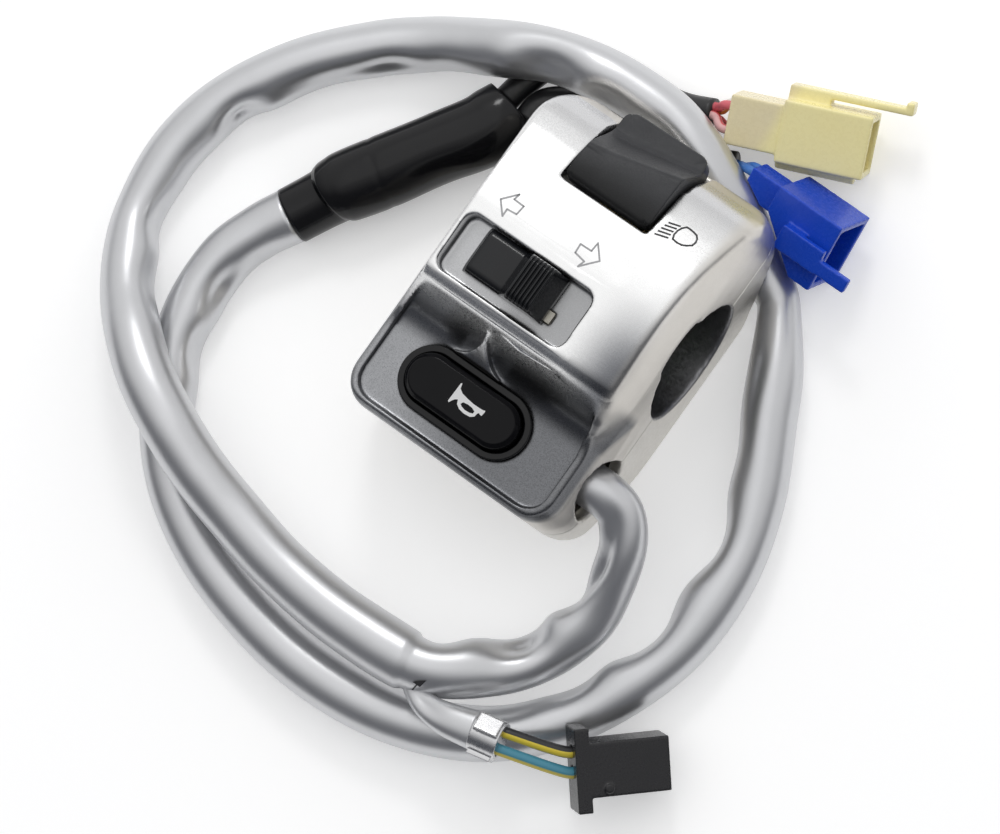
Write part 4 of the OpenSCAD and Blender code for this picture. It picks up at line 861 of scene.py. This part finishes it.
# Finishes by the name of their slot in the record
FINISHES = {
    "polished_casting": die_casting(),
    "rear_casting": rear_casting(),
    "steel": grained("steel", (0.55, 0.55, 0.56), (0.68, 0.68, 0.69), (0.22, 0.3), 2400,
                     metallic=1.0, height=0.006, strength=0.1),
    "grained_black": rocker_finish(),
    "slider_black": grained("slider_black", (0.006, 0.0065, 0.008), (0.01, 0.011, 0.013), (0.14, 0.2), 2200,
                            height=0.004, strength=0.1, gloss=0.35),
    "gloss_black": grained("gloss_black", (0.004, 0.004, 0.005), (0.007, 0.007, 0.008), (0.06, 0.12), 1500,
                           height=0.004, strength=0.1, gloss=0.12),
    "pale_tab": grained("pale_tab", (0.7, 0.66, 0.56), (0.8, 0.77, 0.68), (0.4, 0.55), 2400),
    "base_plastic": grained("base_plastic", (0.03, 0.022, 0.016), (0.05, 0.036, 0.026), (0.45, 0.6), 2000),
    "contact_brass": grained("contact_brass", (0.7, 0.52, 0.22), (0.82, 0.64, 0.3), (0.2, 0.35), 2400,
                             metallic=1.0),
    "silver_sleeve": grained("silver_sleeve", (0.6, 0.605, 0.62), (0.64, 0.645, 0.66), (0.32, 0.36), 3000,
                             metallic=0.85, height=0.002, strength=0.05),
    "black_wrap": grained("black_wrap", (0.005, 0.005, 0.006), (0.009, 0.009, 0.01), (0.14, 0.2), 900,
                          height=0.01, strength=0.1, gloss=0.3),
    "black_lead": grained("black_lead", (0.01, 0.01, 0.011), (0.018, 0.018, 0.02), (0.3, 0.45), 1600),
    "wire_red": grained("wire_red", (0.68, 0.1, 0.13), (0.8, 0.2, 0.24), (0.35, 0.5), 1600),
    "wire_blue": grained("wire_blue", (0.03, 0.14, 0.5), (0.06, 0.22, 0.62), (0.35, 0.5), 1600),
    "wire_yellow": striped("wire_yellow", (0.02, 0.02, 0.022), (0.78, 0.62, 0.06), 0.97, 0.16),
    "wire_mixed": grained("wire_mixed", (0.12, 0.3, 0.1), (0.25, 0.4, 0.18), (0.35, 0.5), 1600),
    "pale_yellow": pale_nylon(),
    "blue_plastic": grained("blue_plastic", (0.006, 0.055, 0.52), (0.009, 0.072, 0.6), (0.24, 0.3), 1200,
                            height=0.002, strength=0.05, gloss=0.35),
    "connector_black": grained("connector_black", (0.01, 0.01, 0.012), (0.018, 0.018, 0.02), (0.24, 0.32),
                               1600, height=0.004, strength=0.1)}
# Finishes that share a slot with one of these
bezel_black = grained("bezel_black", (0.005, 0.005, 0.006), (0.008, 0.008, 0.009), (0.1, 0.16), 1500,
                      height=0.004, strength=0.1, gloss=0.28)
pink_wire = striped("wire_pink", (0.86, 0.5, 0.5), (0.75, 0.12, 0.14), 0.2, 0.1)
white_wire = striped("wire_white", (0.85, 0.82, 0.78), (0.85, 0.4, 0.1), 0.85, 0.12)
teal_wire = striped("wire_teal", (0.06, 0.26, 0.36), (0.72, 0.6, 0.1), 0.8, 0.12)
print_grey = grained("printed_grey", (0.3, 0.3, 0.31), (0.5, 0.5, 0.51), (0.45, 0.6), 6000)
# Black for print, and for the painted shade at the sleeve's slit.
print_and_shade_black = grained("printed_and_shade_black", (0.02, 0.02, 0.022), (0.035, 0.035, 0.038), (0.45, 0.6), 2400)
print_white = grained("printed_white", (0.78, 0.78, 0.78), (0.84, 0.84, 0.84), (0.4, 0.55), 2400)


def finish_as(piece, slot, body, finish):
    """Gives a new piece its finish, the slot's own where none is named, and the body that it rides on."""
    piece.data.materials.clear()
    piece.data.materials.append(finish or FINISHES[slot])
    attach(piece, body)


for piece, slot, body, finish in (
        (front, "polished_casting", "housing", None),
        (rear, "rear_casting", "housing", None),
        (rocker, "grained_black", "dimmer", None),
        (knob, "slider_black", "turn_slider", None),
        (tab, "pale_tab", "housing", None),
        (button, "gloss_black", "horn", None),
        (bezel, "gloss_black", "housing", bezel_black),
        (horn_coil, "steel", "housing", None),
        (inner, "wire_mixed", "housing", None),
        (sleeve, "silver_sleeve", "housing", None),
        (wrap, "black_wrap", "housing", None),
        (main_tube, "black_lead", "housing", None),
        (main_plug, "pale_yellow", "housing", None),
        (second_tube, "black_lead", "housing", None),
        (second_plug, "blue_plastic", "housing", None),
        (branch, "silver_sleeve", "housing", None),
        (clip, "steel", "housing", None),
        (branch_plug, "connector_black", "housing", None),
        (left_arrow, "polished_casting", "housing", print_grey),
        (right_arrow, "polished_casting", "housing", print_grey),
        (beam_symbol, "polished_casting", "housing", print_and_shade_black),
        (slit_edge, "silver_sleeve", "housing", print_and_shade_black),
        (slit_shade, "silver_sleeve", "housing", print_and_shade_black),
        (horn_symbol, "gloss_black", "horn", print_white)):
    finish_as(piece, slot, body, finish)
for wires, slot, finishes in (
        (main_wires, "wire_red", [None, pink_wire, white_wire, None]),
        (second_wires, "wire_blue", [None, None]),
        (branch_wires, "wire_yellow", [None, teal_wire])):
    for wire, finish in zip(wires, finishes):
        finish_as(wire, slot, "housing", finish)

# Inner pieces keep their solids and get a finish
NODE_FINISHES = {
    "steel": ["housing_screws", "cable_clamp", "cable_clamp_screws", "dimmer_pivot_pin",
              "dimmer_detent_spring", "dimmer_detent_ball", "turn_detent_spring", "turn_detent_ball",
              "turn_screws", "horn_screws"],
    "base_plastic": ["dimmer_base", "turn_base", "horn_base"],
    "slider_black": ["turn_carriage"],
    "contact_brass": ["dimmer_bridge", "dimmer_contacts", "turn_bridge", "turn_contacts", "horn_bridge",
                      "horn_contacts", "main_terminals", "second_terminals", "branch_terminals"]}
for slot, names in NODE_FINISHES.items():
    for name in names:
        nodes[name].data.materials.clear()
        nodes[name].data.materials.append(FINISHES[slot])


# The horn's spring gets its lowest and highest heights and a mesh of its own
spring_low, spring_high = (pick(point.co.z for point in horn_coil.data.vertices) for pick in (min, max))
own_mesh(horn_coil)


# Floor, light and surroundings

BRIGHT_WAY = (-0.25, 0.6, 0.76)
BRIGHT_FROM = (0.0, 0.7)
DARK_SIDE = (0.11, 0.115, 0.13)
BRIGHT_SIDE = (0.87, 0.87, 0.87)
FLOOR_SIZE, FLOOR_GLOW = 6, 0.34


def seen_share(tree):
    """1 where a camera, mirror or glass looks, so that the light on the object stays as it is."""
    path = tree.nodes.new("ShaderNodeLightPath")
    share = joined(tree, "MAXIMUM", path.outputs["Is Camera Ray"], path.outputs["Is Glossy Ray"])
    return joined(tree, "MAXIMUM", share, path.outputs["Is Transmission Ray"])


def add_floor():
    """White floor that keeps the shadow."""
    bpy.ops.object.select_all(action="DESELECT")
    bpy.ops.mesh.primitive_plane_add(size=FLOOR_SIZE, location=(0, 0, TABLE_Z * MM))
    floor = bpy.context.active_object
    floor.name = "floor"
    material, tree, shader = new_material("floor")
    shader.inputs["Base Color"].default_value = (0.9, 0.9, 0.9, 1)
    shader.inputs["Roughness"].default_value = 0.9
    shader.inputs["Specular IOR Level"].default_value = 0.0
    tree.links.new(joined(tree, "MULTIPLY", seen_share(tree), FLOOR_GLOW), shader.inputs["Emission Color"])
    shader.inputs["Emission Strength"].default_value = 1.0
    floor.data.materials.append(material)


def add_softbox(name, place, aim, size, power):
    lamp = bpy.data.lights.new(name, "AREA")
    lamp.shape = "RECTANGLE"
    lamp.size, lamp.size_y = size
    lamp.energy = power
    box = add_piece(name, lamp)
    box.location = place
    box.rotation_euler = (Vector(aim) - Vector(place)).to_track_quat("-Z", "Y").to_euler()


def add_world():
    """Tent of light that is open and dark on the near side of the face."""
    world = bpy.data.worlds.new("studio")
    world.use_nodes = True
    tree = world.node_tree
    way = tree.nodes.new("ShaderNodeTexCoord")
    toward = tree.nodes.new("ShaderNodeVectorMath")
    toward.operation = "DOT_PRODUCT"
    toward.inputs[1].default_value = BRIGHT_WAY
    tree.links.new(way.outputs["Generated"], toward.inputs[0])
    share = spread(tree, toward.outputs["Value"], 0.0, 1.0, *BRIGHT_FROM)
    tree.links.new(mixed(tree, share, DARK_SIDE, BRIGHT_SIDE), tree.nodes["Background"].inputs["Color"])
    bpy.context.scene.world = world


add_floor()
add_world()
add_softbox("overhead", place=(-0.16, 0.16, 0.62), aim=(0, 0, 0), size=(0.5, 0.8), power=0.3)
add_softbox("side", place=(-0.22, 0.36, 0.44), aim=(-0.04, 0, 0), size=(0.12, 0.12), power=0.5)
